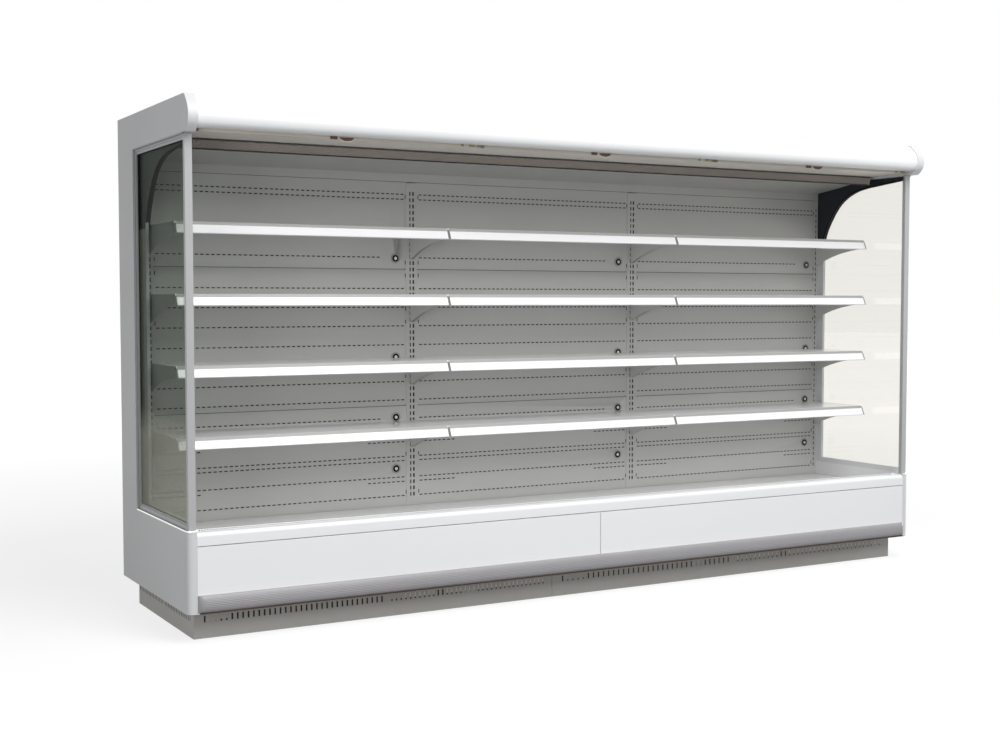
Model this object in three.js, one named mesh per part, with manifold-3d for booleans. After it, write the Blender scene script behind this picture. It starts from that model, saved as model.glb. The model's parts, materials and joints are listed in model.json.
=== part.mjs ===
// Open multideck display fridge: a refrigerated wall case with an open front, three shelf bays,
// glazed end walls, night blinds in the canopy and an insulated tub with fans and coil below.
// Millimetres. +X runs along the case, -Y is the shopper's side, +Z is up, and the origin lies on
// the floor under the middle of the case.

import * as THREE from "three";
import { mergeGeometries, mergeVertices } from "three/addons/utils/BufferGeometryUtils.js";
import Module from "manifold-3d";

const wasm = await Module();
wasm.setup();

// ---- Driving dimensions ----

const BAY = 1250; // one shelf bay
const BAYS = 3;
const END_WALL = 40; // thickness of an end wall
const HEIGHT = 2125;
const DEPTH = 1016; // canopy nose to rear skin
const SEAT = 0.3; // gap between two pieces that touch

const INNER = (BAY * BAYS) / 2; // inside face of an end wall
const OUTER = INNER + END_WALL;
const REAR = DEPTH / 2;
const NOSE = -DEPTH / 2;
const FRONT = -435; // front face of the lower body
const SPAN = INNER - SEAT; // half length of what fits between the end walls

const SKIRT = 118; // underside of the end walls
const TUB_BOTTOM = 122;
const TUB_FLOOR = 165;
const TUB_RIM = 380;
const RAIL_TOP = 437;
const DECK_TOP = 376;
const ROOF_BOTTOM = 2065;
const ROOF_TOP = 2120;
const WALL_FRONT = 448; // front face of the insulated rear wall

const FAIRING = 3; // sheet of the inner corner fairings
const CEILING_END = SPAN - FAIRING - SEAT; // the duct ceiling fits between the fairings

const LINER = 228; // front face of the perforated liner panels
const LINER_TOP = 1888;
const LINER_SEAMS = [1484, 847];
const LINER_LEDGE = 353.7; // ledge that carries the decks
const SOCKET_HEIGHTS = [1534, 1073, 794, 553];
const SOCKET_INSET = 91; // from the bay's right edge

const UPRIGHT_HALF = 28.5;
const UPRIGHT_FACE = 226.5;
const SLOT_PITCH = 29.3;
const SLOT_TOP = 1835;
const SLOT_COUNT = 49;
const SLOT = { width: 5, height: 17 };
const COLUMN_OFFSET = 8; // slot column to the middle of an upright
const END_COLUMN = INNER - 15; // slot column of an end upright

const SHELF_TOP = 1658;
const SHELF_LEVELS = 4;
const SHELF_STEP = 10 * SLOT_PITCH;
const SHELF_REAR = 220;
const SHELF_END = INNER - 12; // outer end of the end bays' shelves
const SHEET = 2;

const BLIND = { y: -458, z: 2062, roll: 27.2, pin: 6.5, plane: -430 };

const bays = [...Array(BAYS).keys()];
const bayCentre = (bay) => (bay - (BAYS - 1) / 2) * BAY;
const shelfTop = (level) => SHELF_TOP - level * SHELF_STEP;

// ---- Materials ----

const paint = (color, roughness = 0.4, metalness = 0) => () =>
  new THREE.MeshStandardMaterial({ color, roughness, metalness });

const WHITE = paint(0xf4f5f6, 0.35);
const LINER_GREY = paint(0xc3c5c2, 0.45);
const SHELF_WHITE = paint(0xf0f1f3, 0.3);
const PLINTH_GREY = paint(0x83847f, 0.55);
const FOAM_SKIN = paint(0xd6d8d8, 0.5);
const GALVANISED = paint(0x9a9ea0, 0.45, 0.8);
const ALUMINIUM = paint(0xb7babd, 0.35, 0.9);
const NAVY = paint(0x1e2830, 0.4);
const BUMPER_GREY = paint(0xa9a7ad, 0.5);
const CREAM = paint(0xd9d0c0, 0.45);
const CLOTH = paint(0xe2e0da, 0.9);
const HONEYCOMB = paint(0x77716c, 0.7);
const FAN_BLACK = paint(0x24262a, 0.5);
const GLASS = () => {
  const glass = { color: 0xdfe8e4, roughness: 0.05, transparent: true, opacity: 0.3 };
  return new THREE.MeshStandardMaterial(glass);
};

// ---- Solids: sections swept along an axis, joined and cut ----

// The closed outline through the points [u, v].
function outline(points) {
  return new THREE.Shape(points.map(([u, v]) => new THREE.Vector2(u, v)));
}

// The section of folded sheet: a path along its outer face, thickened to the path's left.
function folded(path, thickness) {
  const points = path.map(([u, v]) => new THREE.Vector2(u, v));
  const left = (a, b) => new THREE.Vector2(a.y - b.y, b.x - a.x).normalize();
  const inner = points.map((p, i) => {
    const before = i > 0 ? left(points[i - 1], p) : left(p, points[1]);
    const after = i < points.length - 1 ? left(p, points[i + 1]) : before;
    const mitre = before.clone().add(after).normalize();
    return p.clone().addScaledVector(mitre, thickness / mitre.dot(before));
  });
  return new THREE.Shape([...points, ...inner.reverse()]);
}

// Points of an elliptical arc between two angles in degrees.
function arc(cu, cv, ru, rv, from, to, steps) {
  return Array.from({ length: steps + 1 }, (_, i) => {
    const angle = THREE.MathUtils.degToRad(from + ((to - from) * i) / steps);
    return [cu + ru * Math.cos(angle), cv + rv * Math.sin(angle)];
  });
}

// Points of a smooth curve through the knots.
function spline(knots, steps) {
  const curve = new THREE.SplineCurve(knots.map(([u, v]) => new THREE.Vector2(u, v)));
  return curve.getPoints(steps).map((p) => [p.x, p.y]);
}

const rectangle = (u0, u1, v0, v1) => [
  [u0, v0],
  [u1, v0],
  [u1, v1],
  [u0, v1],
];

function swept(shape, length, matrix) {
  const settings = { depth: length, bevelEnabled: false, curveSegments: 8 };
  return new THREE.ExtrudeGeometry(shape, settings).applyMatrix4(matrix);
}

// A (y, z) section swept along X.
function alongX(shape, x0, x1) {
  const toX = new THREE.Matrix4().set(0, 0, 1, x0, 1, 0, 0, 0, 0, 1, 0, 0, 0, 0, 0, 1);
  return swept(shape, x1 - x0, toX);
}

// An (x, y) section swept along Z.
function alongZ(shape, z0, z1) {
  return swept(shape, z1 - z0, new THREE.Matrix4().makeTranslation(0, 0, z0));
}

// An (x, z) section swept along Y.
function alongY(shape, y0, y1) {
  const toY = new THREE.Matrix4().set(1, 0, 0, 0, 0, 0, -1, y1, 0, 1, 0, 0, 0, 0, 0, 1);
  return swept(shape, y1 - y0, toY);
}

function box(x0, x1, y0, y1, z0, z1) {
  const centre = [(x0 + x1) / 2, (y0 + y1) / 2, (z0 + z1) / 2];
  return new THREE.BoxGeometry(x1 - x0, y1 - y0, z1 - z0).translate(...centre);
}

// A disc or post about the Z axis.
const disc = (radius, z0, z1, sides) =>
  new THREE.CylinderGeometry(radius, radius, z1 - z0, sides)
    .rotateX(Math.PI / 2)
    .translate(0, 0, (z0 + z1) / 2);

function toSolid(geometry) {
  const bare = geometry.clone();
  bare.deleteAttribute("normal");
  bare.deleteAttribute("uv");
  const merged = mergeVertices(bare, 1e-4);
  const triVerts = new Uint32Array(merged.index.array);
  const vertProperties = merged.attributes.position.array;
  return new wasm.Manifold(new wasm.Mesh({ numProp: 3, vertProperties, triVerts }));
}

function toGeometry(solid) {
  const { vertProperties, triVerts } = solid.getMesh();
  const geometry = new THREE.BufferGeometry();
  geometry.setAttribute("position", new THREE.BufferAttribute(vertProperties, 3));
  geometry.setIndex(new THREE.BufferAttribute(triVerts, 1));
  const facets = geometry.toNonIndexed();
  facets.computeVertexNormals();
  return facets;
}

function join(...pieces) {
  return toGeometry(pieces.map(toSolid).reduce((whole, piece) => whole.add(piece)));
}

function cut(base, ...tools) {
  return toGeometry(tools.map(toSolid).reduce((rest, tool) => rest.subtract(tool), toSolid(base)));
}

function node(name, geometry, material) {
  const mesh = new THREE.Mesh(geometry, material());
  mesh.name = name;
  return mesh;
}

// ---- Base: frame on levelling feet, and the slotted plinth ----

const PLINTH = { front: -346, rear: 437, half: 1866, sheet: 3, top: 119.7 };

// A downward-open channel: a block hollowed from below.
function channel(x0, x1, y0, y1, z0, z1) {
  const wall = 3;
  const hollow = [x0 + wall, x1 - wall, y0 + wall, y1 - wall, z0 - 5, z1 - wall];
  return cut(box(x0, x1, y0, y1, z0, z1), box(...hollow));
}

// Two runners carry four cross beams and stand on eight levelling feet.
function baseFrame() {
  const beamTop = TUB_BOTTOM - SEAT;
  const runnerTop = beamTop - 20;
  const reach = PLINTH.half - PLINTH.sheet - SEAT;
  const runnersAt = [-250, 330];
  const runners = runnersAt.map((y) => channel(-reach, reach, y - 30, y + 30, 30, runnerTop));
  const beamsAt = [-1780, -625, 625, 1780];
  const beamFront = PLINTH.front + PLINTH.sheet + SEAT;
  const beams = beamsAt.map((x) => channel(x - 25, x + 25, beamFront, PLINTH.rear, 62, beamTop));
  const feet = beamsAt.flatMap((x) =>
    runnersAt.map((y) => disc(22, 0, runnerTop - 1, 6).translate(x, y, 0)),
  );
  return node("base_frame", join(...runners, ...beams, ...feet), GALVANISED);
}

// Upright slots in the plinth: groups of equal slots, each group [first slot, slot pitch].
const PLINTH_SLOTS = { count: 35, width: 7.5, low: 64, high: 90 };
const PLINTH_SEAM = -205;
const PLINTH_PANELS = {
  left: { from: -PLINTH.half, to: PLINTH_SEAM - 1, groups: [[-1820, 22.7], [-1002, 22.1]] },
  right: { from: PLINTH_SEAM + 1, to: PLINTH.half, groups: [[-147, 28], [864, 27.6]] },
};

function plinth(side) {
  const { from, to, groups } = PLINTH_PANELS[side];
  const { front, rear, sheet, top } = PLINTH;
  const { count, width, low, high } = PLINTH_SLOTS;
  const slots = groups.flatMap(([first, pitch]) =>
    Array.from({ length: count }, (_, i) => first + i * pitch).map((x) =>
      box(x - width / 2, x + width / 2, front - 1, front + sheet + 1, low, high),
    ),
  );
  const face = [[from, front], [to, front]];
  const path = side === "left" ? [[from, rear], ...face] : [...face, [to, rear]];
  const panel = alongZ(folded(path, sheet), 0, top);
  return node(`plinth_${side}`, cut(panel, mergeGeometries(slots)), PLINTH_GREY);
}

// ---- Insulated body: tub, rear wall and roof ----

function tub() {
  const section = outline([
    [-420, TUB_BOTTOM],
    [REAR, TUB_BOTTOM],
    [REAR, TUB_FLOOR],
    [60, TUB_FLOOR],
    [40, TUB_FLOOR - 12],
    [-20, TUB_FLOOR - 12],
    [-40, TUB_FLOOR],
    [-350, TUB_FLOOR],
    [-371, TUB_FLOOR + 9],
    [-380, TUB_FLOOR + 30],
    [-380, TUB_RIM],
    [-420, TUB_RIM],
  ]);
  const drain = (radius, z0, z1) => disc(radius, z0, z1, 12).translate(300, 10, 0);
  const withSpigot = join(alongX(section, -SPAN, SPAN), drain(25, 80, TUB_BOTTOM + 5));
  return node("tub", cut(withSpigot, drain(20, 70, TUB_FLOOR + 10)), FOAM_SKIN);
}

function rearWall() {
  const joints = [BAY / 2, -BAY / 2].flatMap((x) => [
    [x + 2, REAR],
    [x + 2, REAR - 3],
    [x - 2, REAR - 3],
    [x - 2, REAR],
  ]);
  const plan = outline([[-SPAN, WALL_FRONT], [SPAN, WALL_FRONT], [SPAN, REAR], ...joints, [-SPAN, REAR]]);
  return node("rear_wall", alongZ(plan, TUB_FLOOR + SEAT, ROOF_BOTTOM - SEAT), FOAM_SKIN);
}

function roof() {
  return node("roof", box(-SPAN, SPAN, -330.7, REAR, ROOF_BOTTOM, ROOF_TOP), FOAM_SKIN);
}

// ---- End walls: nosed outer skin, glazed window, curved inner corner ----

const WINDOW = {
  bottom: 440,
  top: 1980,
  rear: 280, // outside recess
  innerRear: 180,
  innerBottom: 472,
  innerTop: 1960,
  post: -402, // rear side of the front post
  postFront: -423,
  skin: OUTER - 10, // outside face of the window frame
  pane: INNER + 14, // inside face of the pane
};

const NOSE_CURVE = [
  [-455, HEIGHT],
  [-494, 2083],
  [NOSE, 2044],
  [-500, 2008],
  [-470, WINDOW.top],
];

// The end wall's side outline around a window whose corner is at (rear, bottom) to (rear, top).
function endWallOutline(rear, bottom, top) {
  const behindPost = WINDOW.post + SEAT;
  return outline([
    [FRONT, SKIRT],
    [REAR, SKIRT],
    [REAR, HEIGHT],
    ...spline(NOSE_CURVE, 12),
    [behindPost, WINDOW.top],
    [behindPost, top],
    [rear, top],
    [rear, bottom],
    [behindPost, bottom],
    [behindPost, WINDOW.bottom],
    [FRONT, WINDOW.bottom],
  ]);
}

function endWall() {
  const skin = endWallOutline(WINDOW.rear, WINDOW.bottom + 0.5, WINDOW.top - 0.5);
  const lining = endWallOutline(WINDOW.innerRear, WINDOW.innerBottom, WINDOW.innerTop);
  const wall = join(alongX(skin, INNER, OUTER), alongX(lining, INNER, WINDOW.pane));
  const radius = 26;
  const corner = outline([
    [OUTER + 1, FRONT - 1],
    ...arc(OUTER - radius, FRONT + radius, radius, radius, 0, -90, 6),
  ]);
  return cut(wall, alongZ(corner, SKIRT - 1, WINDOW.bottom + 1));
}

function windowFrame() {
  const { postFront, post, rear, bottom, top, skin, pane } = WINDOW;
  const face = outline(rectangle(postFront, rear - SEAT, bottom + 0.8, top - 0.8));
  face.holes.push(outline(rectangle(post, rear - 18, bottom + 24, top - 14)));
  const ring = alongX(face, pane + 8, skin);
  const front = box(INNER, skin, postFront, post, bottom + 0.8, top - 0.8);
  return join(ring, front);
}

function windowPane() {
  const { post, rear, bottom, top, pane } = WINDOW;
  return box(pane + SEAT, pane + 8 - SEAT, post + SEAT, rear - SEAT, bottom + 0.8, top - 0.8);
}

// The fairing's lower edge runs straight from the front and then sweeps down to its foot.
const FAIRING_SWEEP = [
  [-150, 1932],
  [-69, 1917],
  [14, 1883],
  [82, 1828],
  [153, 1726],
  [185, 1640],
];

function cornerFairing() {
  const front = -409;
  const rear = LINER - 2;
  const head = 1975;
  const [, foot] = FAIRING_SWEEP.at(-1);
  const edge = [[front, 1955], ...spline(FAIRING_SWEEP, 16)];
  const shape = outline([...edge, [rear, foot], [rear, head], [front, head]]);
  return alongX(shape, SPAN - FAIRING, SPAN);
}

function endAssembly(side) {
  const group = new THREE.Group();
  group.add(node(`end_wall_${side}`, endWall(), WHITE));
  group.add(node(`window_frame_${side}`, windowFrame(), ALUMINIUM));
  group.add(node(`window_pane_${side}`, windowPane(), GLASS));
  group.add(node(`corner_fairing_${side}`, cornerFairing(), NAVY));
  group.scale.x = side === "left" ? -1 : 1;
  return group;
}

// ---- Lower front: panels, handrail, bumper and return-air grille ----

function frontPanel(side) {
  const section = folded(
    [
      [FRONT + 14.5, TUB_RIM + 1],
      [FRONT, TUB_RIM + 1],
      [FRONT, 125],
      [FRONT + 14.5, 125],
    ],
    SHEET,
  );
  const from = side === "left" ? -SPAN : 1;
  const to = side === "left" ? -1 : SPAN;
  return node(`front_panel_${side}`, alongX(section, from, to), WHITE);
}

function handrail() {
  const radius = 18;
  const path = [
    [-385, TUB_RIM + SEAT],
    [-385, RAIL_TOP - 7],
    [-392, RAIL_TOP],
    ...arc(FRONT + radius, RAIL_TOP - radius, radius, radius, 90, 180, 5),
    [FRONT, 384],
    [FRONT + 12, 384],
  ];
  return node("handrail", alongX(folded(path, 3), -SPAN, SPAN), WHITE);
}

const BUMPER = { back: FRONT - SEAT, front: -457, bottom: 123, top: 191, cap: 30 };

// A rounded rail with fine grooves along it and rounded corners at its two ends.
function bumper() {
  const { back, front, bottom, top, cap } = BUMPER;
  const face = spline(
    [
      [front + 13, top],
      [front + 5, top - 7],
      [front + 1, top - 19],
      [front, top - 34],
      [front + 1.5, top - 50],
      [front + 7, top - 63],
      [front + 13, bottom],
    ],
    14,
  );
  const grooves = face.slice(2, -2).map((point, i) => {
    const before = new THREE.Vector2(...face[i + 1]);
    const after = new THREE.Vector2(...face[i + 3]);
    const along = after.sub(before).normalize();
    const at = (s, t) => [point[0] + along.x * s - along.y * t, point[1] + along.y * s + along.x * t];
    return alongX(outline([at(-1.5, -1), at(1.5, -1), at(0, 1)]), cap - SPAN, SPAN - cap);
  });
  const radius = 19;
  const corners = [-1, 1].map((side) => {
    const plan = outline([
      [side * (SPAN + 1), front - 1],
      ...arc(side * (SPAN - radius), front + radius, side * radius, radius, 0, -90, 5),
    ]);
    return alongZ(plan, bottom - 1, top + 1);
  });
  const section = outline([[back, bottom], [back, top], ...face]);
  const rail = cut(alongX(section, -SPAN, SPAN), mergeGeometries(grooves), ...corners);
  return node("bumper", rail, BUMPER_GREY);
}

function returnAirGrille() {
  const path = [
    [-296, LINER_LEDGE],
    [-318.5, LINER_LEDGE],
    [-318.5, 388],
    [-372, 441],
    [-384.7, 428],
    [-384.7, 404],
  ];
  return node("return_air_grille", alongX(folded(path, SHEET), -SPAN, SPAN), SHELF_WHITE);
}

// ---- Canopy: nosed front, soffit with blind brackets, air outlet and duct ceiling ----

function canopyFront() {
  const path = [
    [-331, 2080],
    [-331, ROOF_TOP],
    ...spline(
      [
        [-452, ROOF_TOP],
        [-489, 2082],
        [-503.5, 2044],
        [-496, 2010],
        [-474, 1998],
        [-447, 1996.5],
      ],
      14,
    ),
    [-446.5, 2007],
  ];
  return node("canopy_front", alongX(folded(path, 3), -SPAN, SPAN), WHITE);
}

const SOFFIT = { front: -411, rear: -198, bottom: 1988 };
const BLIND_BRACKETS = [-INNER + 6, -BAY / 2, BAY / 2, INNER - 6];

function canopySoffit() {
  const { front, rear, bottom } = SOFFIT;
  const path = [
    [front, 2040],
    [front, bottom],
    [rear, bottom],
    [rear, ROOF_BOTTOM - SEAT],
  ];
  const ear = outline([
    [front + 1, 2000],
    [front + 1, 2034],
    [-434, 2084],
    [-462, 2084],
    [-478, 2062],
    [-470, 2040],
    [-440, 2000],
  ]);
  ear.holes.push(outline(arc(BLIND.y, BLIND.z, BLIND.pin + 1, BLIND.pin + 1, 0, 315, 7)));
  const ears = BLIND_BRACKETS.map((x) => alongX(ear, x - 4, x + 4));
  return node("canopy_soffit", join(alongX(folded(path, SHEET), -SPAN, SPAN), ...ears), LINER_GREY);
}

// The air outlet: a honeycomb strip between two edge seals, its face turned down to the shopper.
function airOutlet() {
  const top = new THREE.Vector2(SOFFIT.rear + SEAT, SOFFIT.bottom - 3);
  const bottom = new THREE.Vector2(-184, 1943);
  const down = bottom.clone().sub(top).normalize();
  const out = new THREE.Vector2(down.y, -down.x);
  const at = (s, t) => {
    const p = top.clone().addScaledVector(down, s).addScaledVector(out, t);
    return [p.x, p.y];
  };
  const width = top.distanceTo(bottom);
  const section = outline([
    at(0, 0),
    at(3, 0),
    at(3, -2.5),
    at(width - 3, -2.5),
    at(width - 3, 0),
    at(width, 0),
    at(width, -16),
    at(0, -16),
  ]);
  return node("air_outlet", alongX(section, -CEILING_END, CEILING_END), HONEYCOMB);
}

// The duct ceiling slopes down to the wall and folds down it to the top of the liner panels.
function ductCeiling() {
  const path = [
    [-167, 1990],
    [-167, 1958],
    [-23, 1959],
    [92, 1943],
    [LINER, 1927],
    [LINER, LINER_TOP + SEAT],
  ];
  return node("duct_ceiling", alongX(folded(path, SHEET), -CEILING_END, CEILING_END), LINER_GREY);
}

// ---- Night blinds: a sprung roller, its cloth and the pull bar ----

function blindRoller(bay) {
  const { roll, pin, y, z } = BLIND;
  const x = bayCentre(bay);
  const tips = [-BAY / 2 + 0.5, BAY / 2 - 0.5].map((tip) => {
    const end = INNER - 6.5;
    return THREE.MathUtils.clamp(x + tip, -end, end);
  });
  const profile = [
    [0, tips[0]],
    [pin, tips[0]],
    [pin, x - 606],
    [roll, x - 606],
    [roll, x + 606],
    [pin, x + 606],
    [pin, tips[1]],
    [0, tips[1]],
  ].map(([r, along]) => new THREE.Vector2(r, along));
  const turned = new THREE.LatheGeometry(profile, 14).rotateZ(-Math.PI / 2).translate(0, y, z);
  return node(`blind_roller_${bay + 1}`, toGeometry(toSolid(turned)), CLOTH);
}

const BAR = { half: 604, front: -442, rear: -415, bottom: 1986, top: 2006 };

function blindCloth(bay) {
  const x = bayCentre(bay);
  const half = BAR.half - 8;
  const front = BLIND.plane - 0.5;
  const cloth = box(x - half, x + half, front, front + 1, BAR.top + SEAT, BLIND.z);
  return node(`blind_cloth_${bay + 1}`, cloth, CLOTH);
}

// The hand loop that hangs on the bar's front face.
function pullLoop(middle) {
  const { front, bottom } = BAR;
  const bow = spline(
    [
      [middle - 39.5, bottom + 11],
      [middle - 24, bottom - 5],
      [middle, bottom - 10],
      [middle + 24, bottom - 5],
      [middle + 39.5, bottom + 11],
    ],
    10,
  );
  return alongY(folded(bow, 3), front - 3, front + 1);
}

function blindBar(bay) {
  const x = bayCentre(bay);
  const { front, rear, bottom, top, half } = BAR;
  const section = folded(
    [
      [rear, top],
      [front, top],
      [front, bottom],
      [rear, bottom],
      [rear, top - 5],
    ],
    SHEET,
  );
  const rail = alongX(section, x - half, x + half);
  const latch = box(x + 570, x + 597, front - 2, front + 1, bottom + 2, bottom + 12);
  const block = box(x - 62, x - 32, front - 3, front + 1, bottom - 1, bottom + 11);
  return node(`blind_bar_${bay + 1}`, join(rail, pullLoop(x + 10), block, latch), CREAM);
}

// ---- Liner panels, slotted uprights with their brackets, and shelves ----

function linerPanel(bay) {
  const from = bayCentre(bay) - BAY / 2 + UPRIGHT_HALF + SEAT;
  const to = from + BAY - 2 * (UPRIGHT_HALF + SEAT);
  const seams = LINER_SEAMS.flatMap((z) => [
    [LINER, z + 3],
    [LINER + 1.2, z + 1],
    [LINER + 1.2, z - 1],
    [LINER, z - 3],
  ]);
  const path = [[LINER, LINER_TOP], ...seams, [LINER, LINER_LEDGE], [LINER - 26, LINER_LEDGE]];
  const panel = alongX(folded(path, SHEET), from, to);
  const socketX = bayCentre(bay) + BAY / 2 - SOCKET_INSET;
  const sockets = SOCKET_HEIGHTS.map((z) =>
    new THREE.CylinderGeometry(15, 15, 4, 9).translate(socketX, LINER - 1, z),
  );
  return node(`liner_panel_${bay + 1}`, join(panel, ...sockets), LINER_GREY);
}

// A shelf bracket at one slot column: a tapering arm with a hollow lower edge and a hook that
// passes through a slot, bears on its lower edge and drops behind the upright's face.
function bracket(x, top) {
  const underside = top - SHEET - SEAT;
  const rear = UPRIGHT_FACE - 0.2;
  const behind = UPRIGHT_FACE + 4;
  const slotsDown = Math.round((SLOT_TOP - top) / SLOT_PITCH) + 1;
  const bearing = SLOT_TOP - slotsDown * SLOT_PITCH - SLOT.height / 2 - 0.3;
  const hook = [
    [rear, bearing],
    [behind, bearing],
    [behind, bearing - 8],
    [behind + 4, bearing - 8],
    [behind + 4, bearing + 12],
    [rear, bearing + 12],
  ];
  const edge = new THREE.QuadraticBezierCurve(
    new THREE.Vector2(-112, top - 47),
    new THREE.Vector2(60, top - 58),
    new THREE.Vector2(rear, top - 130),
  );
  const lower = edge.getPoints(5).map((p) => [p.x, p.y]);
  const arm = outline([[-119, underside], [-119, top - 36], ...lower, ...hook, [rear, underside]]);
  return alongX(arm, x - 1.5, x + 1.5);
}

// An upright: a channel with columns of slots, feet on the tub floor and stays to the rear wall.
function upright(index) {
  const middle = (index - BAYS / 2) * BAY;
  const end = Math.abs(middle) > BAY;
  const columns = end
    ? [Math.sign(middle) * END_COLUMN]
    : [middle - COLUMN_OFFSET, middle + COLUMN_OFFSET];
  const x0 = Math.max(middle - UPRIGHT_HALF, -SPAN);
  const x1 = Math.min(middle + UPRIGHT_HALF, SPAN);
  const foot = TUB_FLOOR + SEAT;
  const head = LINER_TOP - 3;
  const { width, height } = SLOT;
  const slots = columns.flatMap((x) =>
    Array.from({ length: SLOT_COUNT }, (_, i) => SLOT_TOP - i * SLOT_PITCH).map((z) =>
      box(x - width / 2, x + width / 2, 220, 240, z - height / 2, z + height / 2),
    ),
  );
  const plan = [
    [x0, 266],
    [x0, UPRIGHT_FACE],
    [x1, UPRIGHT_FACE],
    [x1, 266],
  ];
  const post = cut(alongZ(folded(plan, 2.5), foot, head), mergeGeometries(slots));
  const stays = [555, 875, 1195, 1515, 1840].map((z) =>
    box(x0, x0 + 2.5, 260, WALL_FRONT - SEAT, z - 25, z + 25),
  );
  const brackets = Array.from({ length: SHELF_LEVELS }, (_, level) =>
    columns.map((x) => bracket(x, shelfTop(level))),
  );
  return node(`upright_${index + 1}`, join(post, ...stays, ...brackets.flat()), LINER_GREY);
}

// A shelf: one folded sheet, flat at the rear, with a sloping ticket rail at the front.
function shelf(level, bay) {
  const top = shelfTop(level);
  const section = folded(
    [
      [-150, top - 50],
      [-161, top - 48],
      [-146, top - 14],
      [-141, top],
      [SHELF_REAR, top],
    ].reverse(),
    SHEET,
  );
  const half = BAY / 2;
  const from = bay === 0 ? -SHELF_END : bayCentre(bay) - half + 1;
  const to = bay === BAYS - 1 ? SHELF_END : bayCentre(bay) + half - 1;
  return node(`shelf_${level + 1}_${bay + 1}`, alongX(section, from, to), SHELF_WHITE);
}

function deck(bay) {
  const x0 = bayCentre(bay) - BAY / 2 + 1;
  const x1 = x0 + BAY - 2;
  const front = -318;
  const rear = LINER - 7;
  const foot = LINER_LEDGE + SEAT;
  const tray = box(x0, x1, front, rear, foot, DECK_TOP);
  const hollow = box(
    x0 + SHEET,
    x1 - SHEET,
    front + SHEET,
    rear - SHEET,
    foot - 5,
    DECK_TOP - SHEET,
  );
  return node(`deck_${bay + 1}`, cut(tray, hollow), SHELF_WHITE);
}

// ---- Air path in the tub: fan plate, fans and coil ----

// The fan plate leans back at 45 degrees from the tub floor to the underside of the decks.
const PLATE_TOP = LINER_LEDGE;
const PLATE_SHEET = 3;
const PLATE_FOOT = TUB_FLOOR + SEAT + PLATE_SHEET;
const PLATE_RISE = PLATE_TOP - PLATE_FOOT;
const PLATE_FRONT = -300;
const FAN = { hole: 102, tip: 97, hub: 30, motor: 36, blades: 5 };
const FAN_CENTRE = { y: PLATE_FRONT + PLATE_RISE / 2, z: PLATE_TOP - PLATE_RISE / 2 };

// Turns a shape modelled about +Z, with +Z along the air flow, to the place of a bay's fan.
function seatFan(geometry, bay) {
  return geometry.rotateX((-3 * Math.PI) / 4).translate(bayCentre(bay), FAN_CENTRE.y, FAN_CENTRE.z);
}

// A motor held behind the plate by three arms.
function motorMount() {
  const profile = outline([
    [20, 8],
    [107, 8],
    [107, 1],
    [118, 1],
    [118, 13],
    [20, 13],
  ]);
  const arms = [0, 1, 2].map((i) => alongX(profile, -7, 7).rotateZ((i * 2 * Math.PI) / 3));
  return join(disc(FAN.motor, 8, 66, 8), ...arms);
}

function fanPlate() {
  const path = [
    [PLATE_FRONT + PLATE_RISE + 28, PLATE_TOP],
    [PLATE_FRONT + PLATE_RISE, PLATE_TOP],
    [PLATE_FRONT, PLATE_FOOT],
    [PLATE_FRONT - 24, PLATE_FOOT],
  ];
  const plate = alongX(folded(path, PLATE_SHEET), -SPAN, SPAN);
  const holes = bays.map((bay) => seatFan(disc(FAN.hole, -20, 20, 18), bay));
  const mounts = bays.map((bay) => seatFan(motorMount(), bay));
  return node("fan_plate", join(cut(plate, ...holes), ...mounts), GALVANISED);
}

function fan(bay) {
  const blade = outline([
    [26, -16],
    [62, -30],
    [91, -26],
    [FAN.tip, -4],
    [90, 18],
    [26, 14],
  ]);
  const blades = Array.from({ length: FAN.blades }, (_, i) =>
    swept(blade, 2.5, new THREE.Matrix4().makeTranslation(0, 0, -1.2))
      .rotateX(THREE.MathUtils.degToRad(28))
      .translate(0, 0, -8)
      .rotateZ((i * 2 * Math.PI) / FAN.blades),
  );
  const rotor = join(disc(FAN.hub, -22, 7.5, 10), ...blades);
  const mesh = node(`fan_${bay + 1}`, rotor.rotateX((-3 * Math.PI) / 4), FAN_BLACK);
  mesh.position.set(bayCentre(bay), FAN_CENTRE.y, FAN_CENTRE.z);
  return mesh;
}

// A return bend beyond the right tube plate: it joins the front and rear tubes of a row.
function returnBend(x, y, z) {
  const reach = arc(0, 0, 20, 20, -90, 90, 6).map(([u, v]) => new THREE.Vector3(x + u, y + v, z));
  const section = outline(arc(0, 0, 7, 7, 0, 300, 5));
  const extrudePath = new THREE.CatmullRomCurve3(reach);
  return new THREE.ExtrudeGeometry(section, { steps: 6, extrudePath, bevelEnabled: false });
}

// The coil: a fin pack between two tube plates that stand in the tub.
function coil() {
  const half = 1700;
  const front = 350;
  const rear = 430;
  const pack = box(-half, half, front + 4, rear - 4, 190, 512);
  const plates = [-half - 3, half].map((x) => box(x, x + 3, front, rear, TUB_FLOOR + SEAT, 520));
  const rows = [235, 310, 385, 460];
  const bends = rows.map((z) => returnBend(half + 2, (front + rear) / 2, z));
  return node("coil", join(pack, ...plates, ...bends), ALUMINIUM);
}

// ---- The assembly ----

const levels = [...Array(SHELF_LEVELS).keys()];
const fridge = new THREE.Group();

fridge.add(baseFrame(), plinth("left"), plinth("right"));
fridge.add(tub(), rearWall(), roof());
fridge.add(endAssembly("left"), endAssembly("right"));
fridge.add(frontPanel("left"), frontPanel("right"), handrail(), bumper(), returnAirGrille());
fridge.add(canopyFront(), canopySoffit(), airOutlet(), ductCeiling());
fridge.add(fanPlate(), coil());
for (const bay of bays) {
  fridge.add(blindRoller(bay), blindCloth(bay), blindBar(bay));
  fridge.add(linerPanel(bay), deck(bay), fan(bay));
  for (const level of levels) fridge.add(shelf(level, bay));
}
for (let i = 0; i <= BAYS; i++) fridge.add(upright(i));

export default fridge;
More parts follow.
